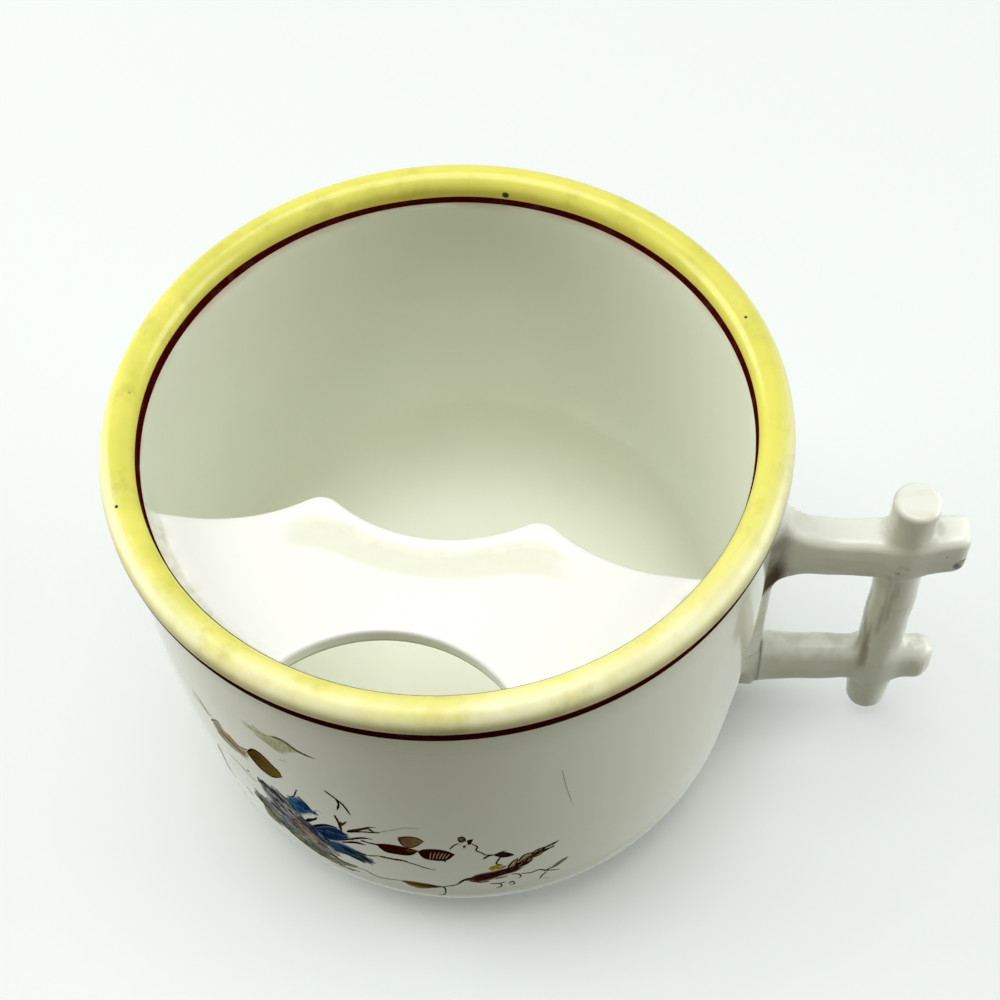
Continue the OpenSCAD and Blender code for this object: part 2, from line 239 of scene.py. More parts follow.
LEAVES = (
    ("twig", "twig", None, 0.3,
     (-133.2, 45.9, -130.1, 48.8, -129.3, 47.2, -127.6, 46.8, -125.9, 45.8, -124.1, 46.2,
      -122.3, 48.2),
     (-133.2, 45.9, -132.7, 44.1, -131.9, 42.5, -129.9, 42.5, -127.7, 42.6, -126.4, 42.2,
      -124.9, 41.9)),
    ("brown", "olive", "dark", 0.95,
     (-123.8, 46.3, -122.1, 48.6, -120.5, 49.2, -119.1, 48.5, -118.1, 47.4, -117, 46.6,
      -116.5, 44.9),
     (-123.8, 46.3, -123.4, 45.1, -122.6, 44.1, -121.7, 43.1, -120.4, 42.7, -119, 42.9,
      -116.5, 44.9)),
    ("faded", "faded", None, 0.5,
     (-122.5, 57.2, -119.1, 56.7, -115.8, 57.6, -113.5, 58.1, -111, 56.9, -107.9, 56.4),
     (-122.1, 55, -120, 55.4, -117.7, 54.4, -115.1, 53.3, -111.2, 56.2, -107.9, 56.4)),
    ("slate", "violet", None, 0.62,
     (-122.3, 38.2, -119.3, 37.6, -117.9, 36.1, -117.3, 31.6, -115.9, 30.4),
     (-123.7, 37, -123.3, 34.9, -122.4, 32.8, -120.8, 27.9, -118.5, 24.9)),
    ("moss", "smoke", None, 0.5,
     (-125, 26.7, -123.1, 25.3, -120.5, 24.6, -117.9, 23.1, -115.5, 22.2, -113.3, 20.9,
      -111.5, 18.9),
     (-126.1, 26.3, -125.7, 22.6, -123.8, 21.1, -121.3, 19.6, -118.4, 18.9, -116.2, 17.1,
      -113.8, 15.9)),
    ("mauve", "pink", None, 0.85,
     (-118.4, 30.5, -115.7, 31, -114.5, 29, -113.2, 26.9, -112.4, 24.3, -111.4, 22.1),
     (-119.6, 27.5, -118.8, 25.5, -117.7, 23.8, -115.7, 23.5, -113.7, 23, -112.1, 21.5)),
    ("sky", "blue", None, 0.9,
     (-117.1, 38, -114.3, 40.5, -113.1, 39.5, -112.1, 38, -111.7, 37.5),
     (-117.6, 37.2, -117.1, 35.2, -116.7, 33.1, -115, 33.1, -111.7, 37.5)),
    ("blue", "blue", None, 0.7,
     (-114.5, 39.5, -113.3, 38.9, -112.4, 37.5),
     (-116, 35.6, -115, 34.5, -113.2, 35.9)),
    ("slate", "blue", None, 0.95,
     (-114.5, 29, -112.1, 31.6, -109.7, 33.8, -107.8, 34.1, -106.8, 33.5, -105.4, 33.6),
     (-114.6, 28.4, -113.1, 27.5, -111.6, 27.4, -110.2, 27.2, -108, 28.8, -105.4, 33.6)),
    ("blue", "blue", None, 0.8,
     (-110.4, 31.9, -108, 33.2, -106.6, 32.8),
     (-111.3, 29.5, -109.9, 28.5, -107.3, 30.4)),
    ("sky", "slate", None, 0.9,
     (-110.2, 27.2, -108.1, 28.5, -106.3, 27.9, -104.6, 27.1, -103.2, 26.1),
     (-112.1, 25.6, -111.1, 23.5, -109, 23.4, -106.2, 22.4, -103.9, 23.4)),
    ("brown", "brown", None, 0.7,
     (-106.9, 37.6, -105.6, 37.7),
     (-106.8, 35.7, -106.6, 35.4)),
    ("rust", "twig", "brown", 0.85,
     (-95.9, 36.9, -93.9, 37.8, -92.4, 37.6, -91.3, 36.6),
     (-95.9, 36.5, -95.3, 34.2, -93.7, 33.9, -91.3, 36.6)),
    ("wine", "wine", "dark", 0.98,
     (-100.4, 32.6, -98.2, 33.4, -95.8, 33.5, -94.3, 33.2, -92.7, 32.7),
     (-100.4, 32.6, -99.1, 30.4, -97.2, 30.2, -94.5, 30.6, -92.7, 32.7)),
    ("rust", "rust", None, 0.5,
     (-95, 33.6, -93.9, 33.3, -92.9, 32.8),
     (-95.2, 31.8, -94.1, 31.7, -93, 32.4)),
    ("wine", "dark", "dark", 0.98,
     (-92.7, 32.4, -91.5, 33.4, -89.6, 33.7, -87.8, 33.3, -86.2, 31.9),
     (-92.7, 32.4, -92, 30.2, -90.6, 29.5, -88.2, 29.6, -86.2, 31.9)),
    ("gold", "brown", None, 0.9,
     (-98.3, 17.8, -95.7, 18.3, -92.4, 18.1, -89.8, 16.9),
     (-98.3, 17.6, -96.7, 16.2, -94.4, 15.4, -89.8, 16.4)),
    ("yellow", "gold", None, 0.7,
     (-97, 16.8, -94.6, 16.4, -92.1, 16.4),
     (-97.1, 16.1, -94.8, 15, -92.2, 15.6)),
    ("slate", "violet", None, 0.4,
     (-124.1, 35.1, -121, 37.3, -118.6, 37.5, -118, 34.2, -116.6, 31.7),
     (-124.2, 34.8, -123.7, 31.9, -122.7, 29.6, -120.8, 27.7, -118.7, 27.6)),
    ("violet", "smoke", None, 0.2,
     (-122.9, 31.3, -120.2, 30.3, -118.7, 27.6, -116.5, 25.2, -114.3, 23.1, -112.8, 21),
     (-123.3, 30, -124.6, 22, -122.8, 19, -119.7, 18.2, -116.8, 16.3, -113.9, 16.5)),
    ("moss", "moss", None, 0.3,
     (-127.1, 24.7, -124.2, 26.6, -123.1, 24.7, -122.5, 22),
     (-127.4, 24, -128.5, 18.6, -126.6, 17.6, -123.8, 17.7)),
    ("mauve", "mauve", None, 0.8,
     (-119, 28, -116.2, 29.7, -114.3, 28.3, -112.8, 25.5),
     (-119.2, 27.4, -118.6, 24.8, -117.2, 22.7, -114.2, 23.7)),
    ("navy", "blue", None, 0.9,
     (-114.1, 29.3, -109.8, 33.8, -107.6, 33.9, -105.7, 33.2),
     (-114.1, 28.9, -113.4, 26.6, -110.6, 27.5, -107.7, 28.9, -106.2, 30.5)),
    ("blue", "slate", None, 0.85,
     (-112, 27.1, -109.6, 27, -106.8, 27.5, -104.1, 26.9, -103.2, 26.1),
     (-112.1, 26.6, -111.4, 22.4, -108.5, 22.7, -106, 24.1, -103.2, 25.8)),
    ("wine", "wine", None, 0.95,
     (-84.6, 21.3, -82.4, 23.4, -80.2, 23.9, -77.9, 24.5, -75.8, 24.9, -73.8, 25.6),
     (-84.6, 20.4, -82.8, 19.3, -80.4, 19.7, -78, 21.2, -75.2, 22.2, -73.5, 23.8)),
    ("twig", "pink", "wine", 0.2,
     (-76.9, 24.5, -76.1, 26.6, -74.9, 28),
     (-76.8, 24.3, -75.5, 24.8, -74.9, 28)),
    ("wine", "wine", None, 0.85,
     (-74.7, 24.8, -73.1, 26, -71.9, 26.9),
     (-74.5, 23.9, -73, 24.6, -71.8, 26.5)),
    ("twig", "pink", "wine", 0.2,
     (-74.8, 26.8, -73.8, 28.7, -72.4, 29.1, -71.9, 27.7),
     (-74.7, 26.4, -73.5, 26.2, -71.9, 27.5)),
    ("smoke", "smoke", "dark", 0.1,
     (-72.4, 28.7, -71.4, 29.7, -70.3, 30.1),
     (-72.4, 27.2, -71.1, 27.2, -70.1, 28.5, -70.2, 29.9)),
    ("twig", "wine", "dark", 0.9,
     (-85.2, 38.2, -84.3, 38.7, -83.9, 37.2),
     (-85.2, 38, -84.8, 36.6, -83.9, 37.2)),
    ("wine", "wine", "dark", 0.95,
     (-83.7, 37.1, -82.6, 37.5),
     (-83.6, 35.7, -83, 36.1)),
    ("dark", "dark", None, 0.95,
     (-84.7, 35.3, -83.8, 35.7),
     (-84.5, 34.5, -84.2, 34.4)),
    ("wine", "dark", "dark", 0.85,
     (-79.1, 30.9, -77.6, 31.5, -75.6, 29.8),
     (-79.1, 30.8, -77.7, 29.5, -75.6, 29.6)),
)
# A bundle of brush marks has its name, its inks, how many marks it has, their length, width and
# stray in millimetres, their lean in radians, how well they cover, and the points of its stem.
BUNDLES = (
    ("rust_spray", ("wine", "dark", "wine", "rust", "brown"),
     90, 1.5, 0.3, 0.5, 0.3, 0.7, (-84, 20.6, -81.5, 21.2, -80.7, 21.7, -78.4, 22.7, -76.1, 24.2,
      -73.8, 26.2, -71.5, 28.1, -69.8, 29.4)),
    ("violet_feather", ("violet", "white", "slate", "violet", "navy", "white", "blue"),
     260, 3.2, 0.27, 1.9, 0.1, 0.75, (-121.2, 36, -119.4, 33.3, -117, 30.4, -114.6, 27.6,
      -112.2, 25)),
    ("slate_feather", ("slate", "violet", "white", "violet", "grey", "sky", "white"),
     240, 3.2, 0.27, 1.9, 0.1, 0.7, (-124.6, 28, -122.2, 25.6, -119.2, 23.3, -116, 21.7,
      -112.4, 20.6)),
    ("mauve_band", ("mauve", "wine", "pink", "mauve"),
     90, 2.2, 0.28, 0.7, 0.1, 0.9, (-118.9, 30, -117, 28.4, -115.1, 26.9, -113.3, 25.2)),
    ("dark_tips", ("navy", "slate", "navy"),
     44, 2, 0.24, 0.8, 0.2, 0.85, (-122.6, 36.6, -121, 36.2, -119, 35)),
    ("moss_feather", ("moss", "white", "grey", "smoke", "moss"),
     150, 3.4, 0.26, 1.5, 0.08, 0.6, (-126.1, 26.3, -122.1, 21.4, -118.4, 19.2, -112.9, 16.8,
      -109.3, 17.3)),
    ("blue_feather", ("blue", "navy", "sky", "slate", "navy"),
     100, 2.6, 0.28, 1.2, 0.12, 0.85, (-113.1, 26.2, -108.5, 25.6, -104.1, 23.9)),
    ("upper_petal", ("blue", "sky", "sky", "navy"),
     40, 1.7, 0.3, 0.5, 0.3, 0.85, (-116.5, 37, -114.6, 36.5, -112, 36.9)),
    ("lower_petal", ("blue", "navy", "blue", "slate"),
     46, 1.9, 0.3, 0.6, 0.25, 0.85, (-113.9, 28.3, -109.9, 31, -106.6, 31.8)),
)
LINES = (
    ("grey", "grey", 0.16, 0.45, (-137.1, 50.2, -135.4, 50, -133.5, 48.1, -131, 47.8)),
    ("grey", "grey", 0.14, 0.35, (-137.5, 48.7, -135.2, 48.4, -133.4, 46.9)),
    ("moss", "moss", 0.5, 0.55, (-116, 57.4, -113.6, 57.8, -111.1, 56.7, -107.9, 56.4)),
    ("grey", "grey", 0.16, 0.6, (-120, 57.3, -118.8, 56.9, -116.9, 56.4)),
    ("grey", "grey", 0.16, 0.5, (-120.1, 55, -117.7, 54.4, -115.6, 53.8, -113.6, 53.8)),
    ("grey", "grey", 0.2, 0.3, (-115.8, 51, -114.1, 51.4)),
    ("grey", "grey", 0.3, 0.55, (-136.4, 34.4, -136.9, 29.6, -138, 23.1, -136, 22.3)),
    ("grey", "grey", 0.16, 0.45, (-131.8, 37, -128.8, 36.8, -127, 35.6, -125.2, 34.8)),
    ("dark", "dark", 0.35, 0.7, (-126.7, 37.3, -126.1, 37.4)),
    ("grey", "grey", 0.16, 0.35, (-131.7, 25, -130.6, 23.3)),
    ("slate", "slate", 0.5, 0.7, (-123.5, 36.7, -122.1, 35.9, -120.7, 34.1, -119.6, 32)),
    ("navy", "slate", 0.25, 0.6, (-122.8, 38.1, -121.7, 37.2, -120, 36.4, -118.5, 35.4)),
    ("white", "white", 0.22, 0.6, (-121.1, 36, -119.6, 34, -118.5, 30.6, -117.5, 28.5)),
    ("moss", "moss", 0.35, 0.6, (-126.4, 25.6, -125.4, 22.5, -122.8, 21.3, -119.9, 20)),
    ("smoke", "smoke", 0.4, 0.55, (-120.2, 23.5, -118.2, 21.5, -115.6, 19.9, -113, 18.4)),
    ("grey", "moss", 0.2, 0.6, (-111.7, 18.2, -108.7, 17.6, -105.4, 18.1, -102.8, 16.6,
     -98.3, 17.5)),
    ("wine", "wine", 0.3, 0.7, (-116.3, 30.2, -115.1, 28.3, -113.9, 26.2)),
    ("navy", "navy", 0.28, 0.8, (-114.3, 40.5, -113.2, 39.3, -112.2, 37.6)),
    ("navy", "navy", 0.2, 0.9, (-117.1, 38.3, -115.9, 39, -115, 40.4, -114.1, 42.7)),
    ("dark", "dark", 0.3, 0.7, (-114.2, 42.5, -113.9, 42.9)),
    ("grey", "grey", 0.16, 0.7, (-113.4, 34.4, -111.1, 38.4, -110, 38.2)),
    ("dark", "navy", 0.3, 0.95, (-115.5, 29.8, -113.8, 32.8, -112.2, 34.1, -111.4, 35.6)),
    ("navy", "navy", 0.26, 0.9, (-114.5, 29, -112.1, 31.6, -109.7, 33.8, -107.8, 34.1,
     -106.8, 33.5)),
    ("navy", "navy", 0.3, 0.7, (-108.9, 24.5, -106.7, 24, -105.3, 23.1, -104.2, 22.2)),
    ("sky", "white", 0.22, 0.6, (-111, 25.7, -108.5, 26.6, -106.2, 25.8)),
    ("dark", "dark", 0.28, 0.9, (-107.7, 47.2, -105.9, 45.7, -104.7, 44.2, -103.8, 41.4)),
    ("dark", "dark", 0.3, 0.95, (-105.8, 45.8, -105.6, 44.1, -106.3, 41.7)),
    ("dark", "brown", 0.3, 0.9, (-107.2, 39.4, -106.9, 36.9, -107, 33.8)),
    ("dark", "moss", 0.5, 0.85, (-105.5, 34.6, -103.2, 36.6, -101.3, 38, -100.3, 37.3, -99, 37.7)),
    ("grey", "grey", 0.15, 0.45, (-99, 37.9, -96, 39.8, -94.1, 41, -91.5, 41.1)),
    ("dark", "wine", 0.35, 0.85, (-107.3, 30, -104.8, 32.2, -102.6, 33.7, -101, 34.1)),
    ("wine", "dark", 0.32, 0.9, (-107.8, 28.7, -104.9, 30.5, -102.6, 31)),
    ("dark", "wine", 0.2, 0.75, (-103.2, 32.7, -101.7, 32.2, -100.2, 32.3, -99.2, 32.1)),
    ("grey", "brown", 0.3, 0.7, (-103.4, 26.4, -100.5, 27.6, -98.1, 27.4, -95.6, 27.8)),
    ("pink", "pink", 0.16, 0.75, (-90.9, 29.6, -90.7, 31.1, -90.4, 32.6)),
    ("pink", "pink", 0.16, 0.75, (-90.3, 29.9, -90, 31.4, -89.6, 32.8)),
    ("pink", "pink", 0.16, 0.75, (-89.7, 30, -89.4, 31.4, -88.9, 32.7)),
    ("pink", "pink", 0.16, 0.75, (-89.2, 30, -88.7, 31.4, -88.2, 32.7)),
    ("pink", "pink", 0.16, 0.75, (-88.6, 30, -88.2, 31.3, -87.7, 32.5)),
    ("pink", "pink", 0.16, 0.75, (-88, 30.3, -87.6, 31.2, -87.1, 32.2)),
    ("dark", "dark", 0.3, 0.8, (-88.5, 29.6, -88, 28.9)),
    ("brown", "brown", 0.55, 0.75, (-100.5, 27.6, -98.8, 27.5, -96.9, 27.7, -95.2, 27.6)),
    ("dark", "moss", 0.22, 0.8, (-96.6, 27.7, -93.9, 26.7, -92.3, 25.7, -90.3, 25.1)),
    ("dark", "moss", 0.24, 0.9, (-92.2, 17.4, -89.8, 17, -89.3, 15.7, -89.6, 13.6, -90.5, 12.7,
     -90.9, 13)),
    ("moss", "dark", 0.24, 0.9, (-89.8, 17, -87, 18.3, -85.8, 19.9, -84.5, 21, -82.8, 22.6)),
    ("yellow", "yellow", 0.9, 0.75, (-80.2, 24.8, -79.2, 25.9, -77.9, 26.4)),
    ("wine", "dark", 0.25, 0.9, (-70.1, 29.7, -68.9, 30.4, -67.4, 30.9)),
    ("wine", "dark", 0.22, 0.85, (-70.2, 28.1, -69.1, 28.9, -68.1, 29.5)),
    ("dark", "dark", 0.2, 0.85, (-86.9, 34.1, -86.2, 35.4, -85.5, 36.1, -84.9, 36)),
    ("dark", "dark", 0.2, 0.85, (-82.9, 35.9, -82, 34.7, -82.3, 33.3, -81.3, 32.1, -80.7, 31.2,
     -79.1, 30.9)),
    ("dark", "dark", 0.35, 0.85, (-81.2, 29.7, -80, 30.8, -78.8, 30.8)),
    ("dark", "dark", 0.26, 0.85, (-78.5, 31.2, -77.7, 31.7, -77.1, 32)),
    ("dark", "dark", 0.24, 0.85, (-78.1, 29.5, -78.7, 28.1, -78.9, 27, -77.8, 26.1)),
    ("dark", "dark", 0.22, 0.85, (-76.2, 21.4, -74.8, 20.8, -74.4, 19.4, -75, 19)),
    ("wine", "dark", 0.22, 0.85, (-74.3, 20.8, -72.3, 20.3, -70.8, 20.7, -69.2, 19.3,
     -66.6, 17.9)),
    ("dark", "dark", 0.2, 0.8, (-69.2, 18.7, -70.2, 17.5, -70.6, 16.1)),
    ("grey", "grey", 0.16, 0.5, (-69.9, 16, -68.7, 15.4)),
    ("dark", "dark", 0.3, 0.8, (-69.9, 19.3, -68.7, 19.9, -67.3, 20.1)),
    ("smoke", "smoke", 1, 0.5, (-67.9, 20, -66.5, 21.5, -65.2, 22.5)),
    ("dark", "dark", 0.2, 0.8, (-80.4, 18.1, -78.8, 17.7, -77.4, 18.1)),
    ("dark", "dark", 0.2, 0.8, (-78.4, 17.5, -78.2, 16.2, -79.3, 15.5)),
    ("dark", "dark", 0.2, 0.75, (-76.8, 17.2, -76.1, 17.9, -75.7, 16.4, -76.6, 16.5)),
    ("moss", "moss", 0.1, 0.08, (-66.7, 54.2, -66.2, 50.1, -65.5, 46, -64.8, 42.9)),
    ("navy", "slate", 0.4, 0.7, (-123.3, 37.8, -122.4, 35.9, -120.7, 35.1)),
    ("slate", "navy", 0.3, 0.7, (-119.7, 37.9, -117.8, 36.6, -116, 33.8)),
    ("navy", "slate", 0.32, 0.6, (-123.1, 29.1, -121.4, 28.3, -118.8, 28.6)),
    ("wine", "wine", 0.28, 0.8, (-117.5, 31.5, -116.1, 30.2, -114.1, 29.3, -113, 27.4)),
    ("white", "white", 0.4, 0.8, (-120.6, 38.8, -118.9, 36.5, -117, 33.6, -115.7, 31.8)),
    ("white", "white", 0.3, 0.6, (-121.4, 33.6, -119.7, 31.2, -118.2, 29.3)),
    ("white", "grey", 0.35, 0.6, (-121.2, 22.6, -119.2, 19.7, -117.4, 17.5)),
    ("pink", "white", 0.25, 0.8, (-116.2, 28.1, -114.6, 27.1, -113.4, 24.9)),
    ("smoke", "slate", 0.3, 0.5, (-123, 20.5, -120.3, 19.2, -117.6, 16.8, -114.3, 15.6)),
    ("slate", "slate", 0.25, 0.5, (-123.6, 23.2, -121.4, 20.7, -118.5, 18.6, -115.2, 16.6)),
    ("dark", "dark", 0.3, 0.85, (-105.7, 34.4, -103.4, 36.2, -101.1, 38.5, -99.6, 39.1)),
    ("dark", "dark", 0.32, 0.85, (-105.7, 34.2, -102.5, 36.2, -99.1, 37.4)),
    ("dark", "wine", 0.22, 0.8, (-106.1, 31.2, -104.4, 32.7, -102.8, 33.8, -100.9, 34.2)),
    ("dark", "dark", 0.36, 0.85, (-106.5, 29.8, -104.3, 31.1, -102.8, 30.9)),
    ("dark", "wine", 0.22, 0.75, (-103.5, 32.2, -101.5, 32.4, -99.2, 32.7)),
    ("dark", "brown", 0.34, 0.9, (-107.2, 39, -106.9, 37.1, -106.8, 33.7)),
    ("brown", "brown", 0.3, 0.6, (-106.3, 36.3, -105.1, 38.5)),
    ("dark", "navy", 0.34, 0.95, (-115.7, 29.7, -114.5, 29.3, -112.2, 31.9, -109.8, 34,
     -107.6, 34.6)),
    ("dark", "dark", 0.36, 0.9, (-115.4, 30.3, -113.2, 32.9, -111.5, 35.3)),
    ("navy", "dark", 0.45, 0.85, (-107.6, 24.7, -105.7, 23.4, -104.6, 22)),
    ("navy", "brown", 0.25, 0.8, (-105.1, 26.6, -102.9, 26.5, -101, 27.4)),
    ("brown", "rust", 0.45, 0.6, (-101, 27.4, -99, 27.6, -97.1, 27.3)),
    ("sky", "white", 0.28, 0.7, (-110.3, 26.9, -108, 27.9, -105.9, 27.7)),
    ("dark", "dark", 0.3, 0.9, (-86.7, 18.5, -85.5, 20.5, -84.2, 21.7)),
    ("dark", "dark", 0.2, 0.9, (-70.3, 30.1, -68.7, 29.9, -67.2, 31.1)),
    ("dark", "dark", 0.24, 0.9, (-70.1, 28.5, -69.1, 29, -68, 29.1)),
    ("yellow", "yellow", 0.6, 0.8, (-79.9, 24.3, -78.7, 25.7, -77.7, 26.2)),
    ("yellow", "gold", 0.5, 0.8, (-78.9, 24.6, -77.9, 25.1, -77.1, 25.6)),
    ("rust", "rust", 0.4, 0.5, (-84.3, 20.2, -82.3, 19.2, -80.4, 19.4)),
    ("rust", "rust", 0.35, 0.5, (-79.4, 20.1, -76.9, 20.9)),
    ("dark", "twig", 0.25, 0.5, (-133.2, 45.9, -131.5, 47.8, -130.1, 48.8)),
    ("twig", "dark", 0.25, 0.5, (-128.5, 47, -125.9, 45.8, -123.2, 47.2)),
    ("moss", "twig", 0.3, 0.5, (-132.4, 43.4, -130, 42.6, -127.2, 42.5)),
    ("dark", "moss", 0.25, 0.5, (-131, 45.6, -128, 44.4, -125.2, 43.6)),
    ("pink", "twig", 0.3, 0.5, (-130, 46.6, -127, 45, -124.4, 43.9)),
    ("wine", "olive", 0.35, 0.5, (-122.6, 45.9, -120.5, 46.6, -118, 45.4)),
    ("gold", "olive", 0.4, 0.5, (-121.2, 44.2, -119.6, 44.6, -117.6, 44.7)),
)


# Meshes


SAME_PLACE = 0.0001 * MM
FLOOR_STEPS = 24
FOOT_EDGE_STEPS = (4, 4, 5)
CORNER_STEPS = 20
WALL_STEPS = 26
SHOULDER_STEPS = 14
ROLL_STEPS = 32
WELL_TOP_STEPS = 8
BOWL_STEPS = 48


def arc(centre, r, a0, a1, n):
    """Points of an arc in n steps from angle a0 to a1 in degrees."""
    a = np.linspace(math.radians(a0), math.radians(a1), n + 1)
    return np.c_[centre[0] + r * np.cos(a), centre[1] + r * np.sin(a)]


def bowed(p, q, s, n):
    """Points of a shallow bow from p to q that bulges by s to the right."""
    p, q = np.array(p), np.array(q)
    t = np.linspace(0, 1, n + 1)[:, None]
    across = np.array([q[1] - p[1], p[0] - q[0]]) / np.linalg.norm(q - p)
    return p + (q - p) * t + across * (4 * s * t * (1 - t))


def run_out(p, q, n):
    """Points of the curve by which the roll runs down from p and out into the wall at q."""
    t = np.linspace(0, 1, n + 1)
    return np.c_[p[0] + (q[0] - p[0]) * t * t * (3 - 2 * t), p[1] + (q[1] - p[1]) * t]


def joined(*stretches):
    """The stretches as one line of points, with each repeated point left out."""
    points = np.concatenate([np.atleast_2d(s) for s in stretches])
    step = np.linalg.norm(np.diff(points, axis=0), axis=1)
    return points[np.r_[True, step > SAME_PLACE]]


class Section:
    """The body's section as points (radius, height), in the order that the wall is walked."""

    def __init__(self, size):
        self.roll_c = (size.rim_r - size.roll_r, size.height - size.roll_r)
        shoulder = (size.rim_r - size.overhang, size.height - size.shoulder_drop)
        well_top = (shoulder[0] - size.wall_t, size.height - size.well_drop)
        waist = shoulder[0] - size.wall_draw
        corner_c = (waist - size.corner_r, size.foot_h + size.corner_r)
        bowl_r = waist - size.wall_t
        bowl_z = size.foot_h + size.floor_t + size.bowl_h
        foot_out = corner_c[0] + size.foot_out
        foot_in = foot_out - size.foot_w
        e = size.foot_round
        inner_foot, inner_edge, outer_edge = FOOT_EDGE_STEPS
        under = joined(
            np.c_[np.linspace(0, foot_in - e, FLOOR_STEPS), np.full(FLOOR_STEPS, size.foot_h)],
            arc((foot_in - e, size.foot_h - e), e, 90, 0, inner_foot),
            arc((foot_in + e, e), e, 180, 270, inner_edge),
            arc((foot_out - e, e), e, -90, 0, outer_edge))
        over_foot = -math.degrees(math.acos(size.foot_out / size.corner_r))
        self.outside = joined(
            arc(corner_c, size.corner_r, over_foot, 0, CORNER_STEPS),
            bowed((waist, corner_c[1]), shoulder, size.wall_bow, WALL_STEPS),
            run_out((size.rim_r, self.roll_c[1]), shoulder, SHOULDER_STEPS)[::-1])
        self.roll = arc(self.roll_c, size.roll_r, 0, 180, ROLL_STEPS)
        self.side = joined(
            run_out((self.roll_c[0] - size.roll_r, self.roll_c[1]), well_top, WELL_TOP_STEPS),
            bowed((bowl_r, bowl_z), well_top, size.wall_bow, WALL_STEPS)[::-1])
        a = np.linspace(0, math.pi / 2, BOWL_STEPS)
        way = np.c_[np.cos(a), np.sin(a)]
        way = way / ((way ** size.bowl_power).sum(1) ** (1 / size.bowl_power))[:, None]
        bowl = np.c_[bowl_r * way[:, 0], bowl_z - size.bowl_h * way[:, 1]]
        self.inside = joined(self.side, bowl)
        self.points = joined(under, self.outside, self.roll, self.inside)
        self.inner_from = len(joined(under, self.outside, self.roll[:ROLL_STEPS // 2 + 1]))

    def outer_r(self, z):
        """Radius of the outside at a height."""
        return np.interp(z, self.outside[:, 1], self.outside[:, 0])

    def well_r(self, z):
        """Radius of the well's wall at a height."""
        return np.interp(z, self.side[::-1, 1], self.side[::-1, 0])


def new_mesh(name, points, faces=(), edges=()):
    """A mesh of points, and the faces or edges between them by number."""
    mesh = bpy.data.meshes.new(name)
    mesh.from_pydata([tuple(map(float, p)) for p in points], edges, faces)
    mesh.update()
    return mesh


def open_line(name, points):
    """A mesh of the points as one open line."""
    return new_mesh(name, points, edges=[(i, i + 1) for i in range(len(points) - 1)])


def points_of(mesh):
    """The points of a mesh, one row of x, y and z each."""
    flat = np.empty(3 * len(mesh.vertices))
    mesh.vertices.foreach_get("co", flat)
    return flat.reshape(-1, 3)


def move_points(mesh, x, y, z):
    """Move every point of a mesh to a new place."""
    mesh.vertices.foreach_set("co", np.stack([x, y, z], 1).ravel())
    mesh.update()


def mark(mesh, **marks):
    """Keep a number at each point of a mesh under each name."""
    for name, values in marks.items():
        kept = mesh.attributes.new(name, "FLOAT", "POINT")
        kept.data.foreach_set("value", np.ascontiguousarray(values, float))


def paint(mesh, colours, covers):
    """Keep a colour and how well it covers at each point of a mesh."""
    ink = mesh.attributes.new("ink", "FLOAT_COLOR", "POINT")
    ink.data.foreach_set("color", np.c_[np.clip(colours, 0, 1), np.ones(len(colours))].ravel())
    mark(mesh, cover=covers)


def new_piece(mesh, finish, slot, *nodes):
    """Put a mesh in the scene as a piece that rides on the root and stands for nodes."""
    if not len(mesh.polygons):
        raise RuntimeError(mesh.name + " has no faces")
    piece = bpy.data.objects.new(mesh.name, mesh)
    bpy.context.collection.objects.link(piece)
    mesh.materials.clear()
    mesh.materials.append(finish)
    mesh.shade_smooth()
    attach(piece, "root")
    if nodes:
        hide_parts(*nodes)


class Tree:
    """A node tree that is written as calls: one method makes any node."""

    def __init__(self, tree):
        self.tree = tree

    def node(self, kind, settings=None, **values):
        """A node of a type, with its settings, and its sockets by name, or by number as i0."""
        made = self.tree.nodes.new(kind)
        for key, value in (settings or {}).items():
            setattr(made, key, value)
        for key, value in values.items():
            numbered = key[0] == "i" and key[1:].isdigit()
            socket = made.inputs[int(key[1:]) if numbered else key.replace("_", " ")]
            if isinstance(value, (bpy.types.NodeSocket, Wire)):
                self.tree.links.new(socket, getattr(value, "socket", value))
            else:
                socket.default_value = value
        return made


def math_node(operation, turned=False):
    """A method of Wire that adds a Math node, with the wire as its last value if turned."""
    def method(self, *others):
        values = (*others, self) if turned else (self, *others)
        made = self.tree.node("ShaderNodeMath", {"operation": operation},
                              **{"i%d" % i: value for i, value in enumerate(values)})
        return Wire(self.tree, made.outputs[0])
    return method


class Wire:
    """A number on its way through a tree. Sums and products on it add Math nodes."""

    def __init__(self, tree, socket):
        self.tree = tree
        self.socket = socket

    __add__ = __radd__ = math_node("ADD")
    __sub__ = math_node("SUBTRACT")
    __rsub__ = math_node("SUBTRACT", turned=True)
    __mul__ = __rmul__ = math_node("MULTIPLY")
    __truediv__ = math_node("DIVIDE")
    __rtruediv__ = math_node("DIVIDE", turned=True)
    __pow__ = math_node("POWER")
    mod = math_node("FLOORED_MODULO")
    floor = math_node("FLOOR")
    absolute = math_node("ABSOLUTE")
    larger = math_node("MAXIMUM")
    smaller = math_node("MINIMUM")
    less_than = math_node("LESS_THAN")
    sine = math_node("SINE")
    cosine = math_node("COSINE")
    arctan2 = math_node("ARCTAN2")

    def above(self, low, high):
        """0 where the number is low, 1 where it is high, and smooth between."""
        made = self.tree.node("ShaderNodeMapRange", {"interpolation_type": "SMOOTHSTEP"},
                              Value=self, From_Min=low, From_Max=high)
        return Wire(self.tree, made.outputs[0])

    def below(self, low, high):
        """1 where the number is low, 0 where it is high, and smooth between."""
        return 1 - self.above(low, high)


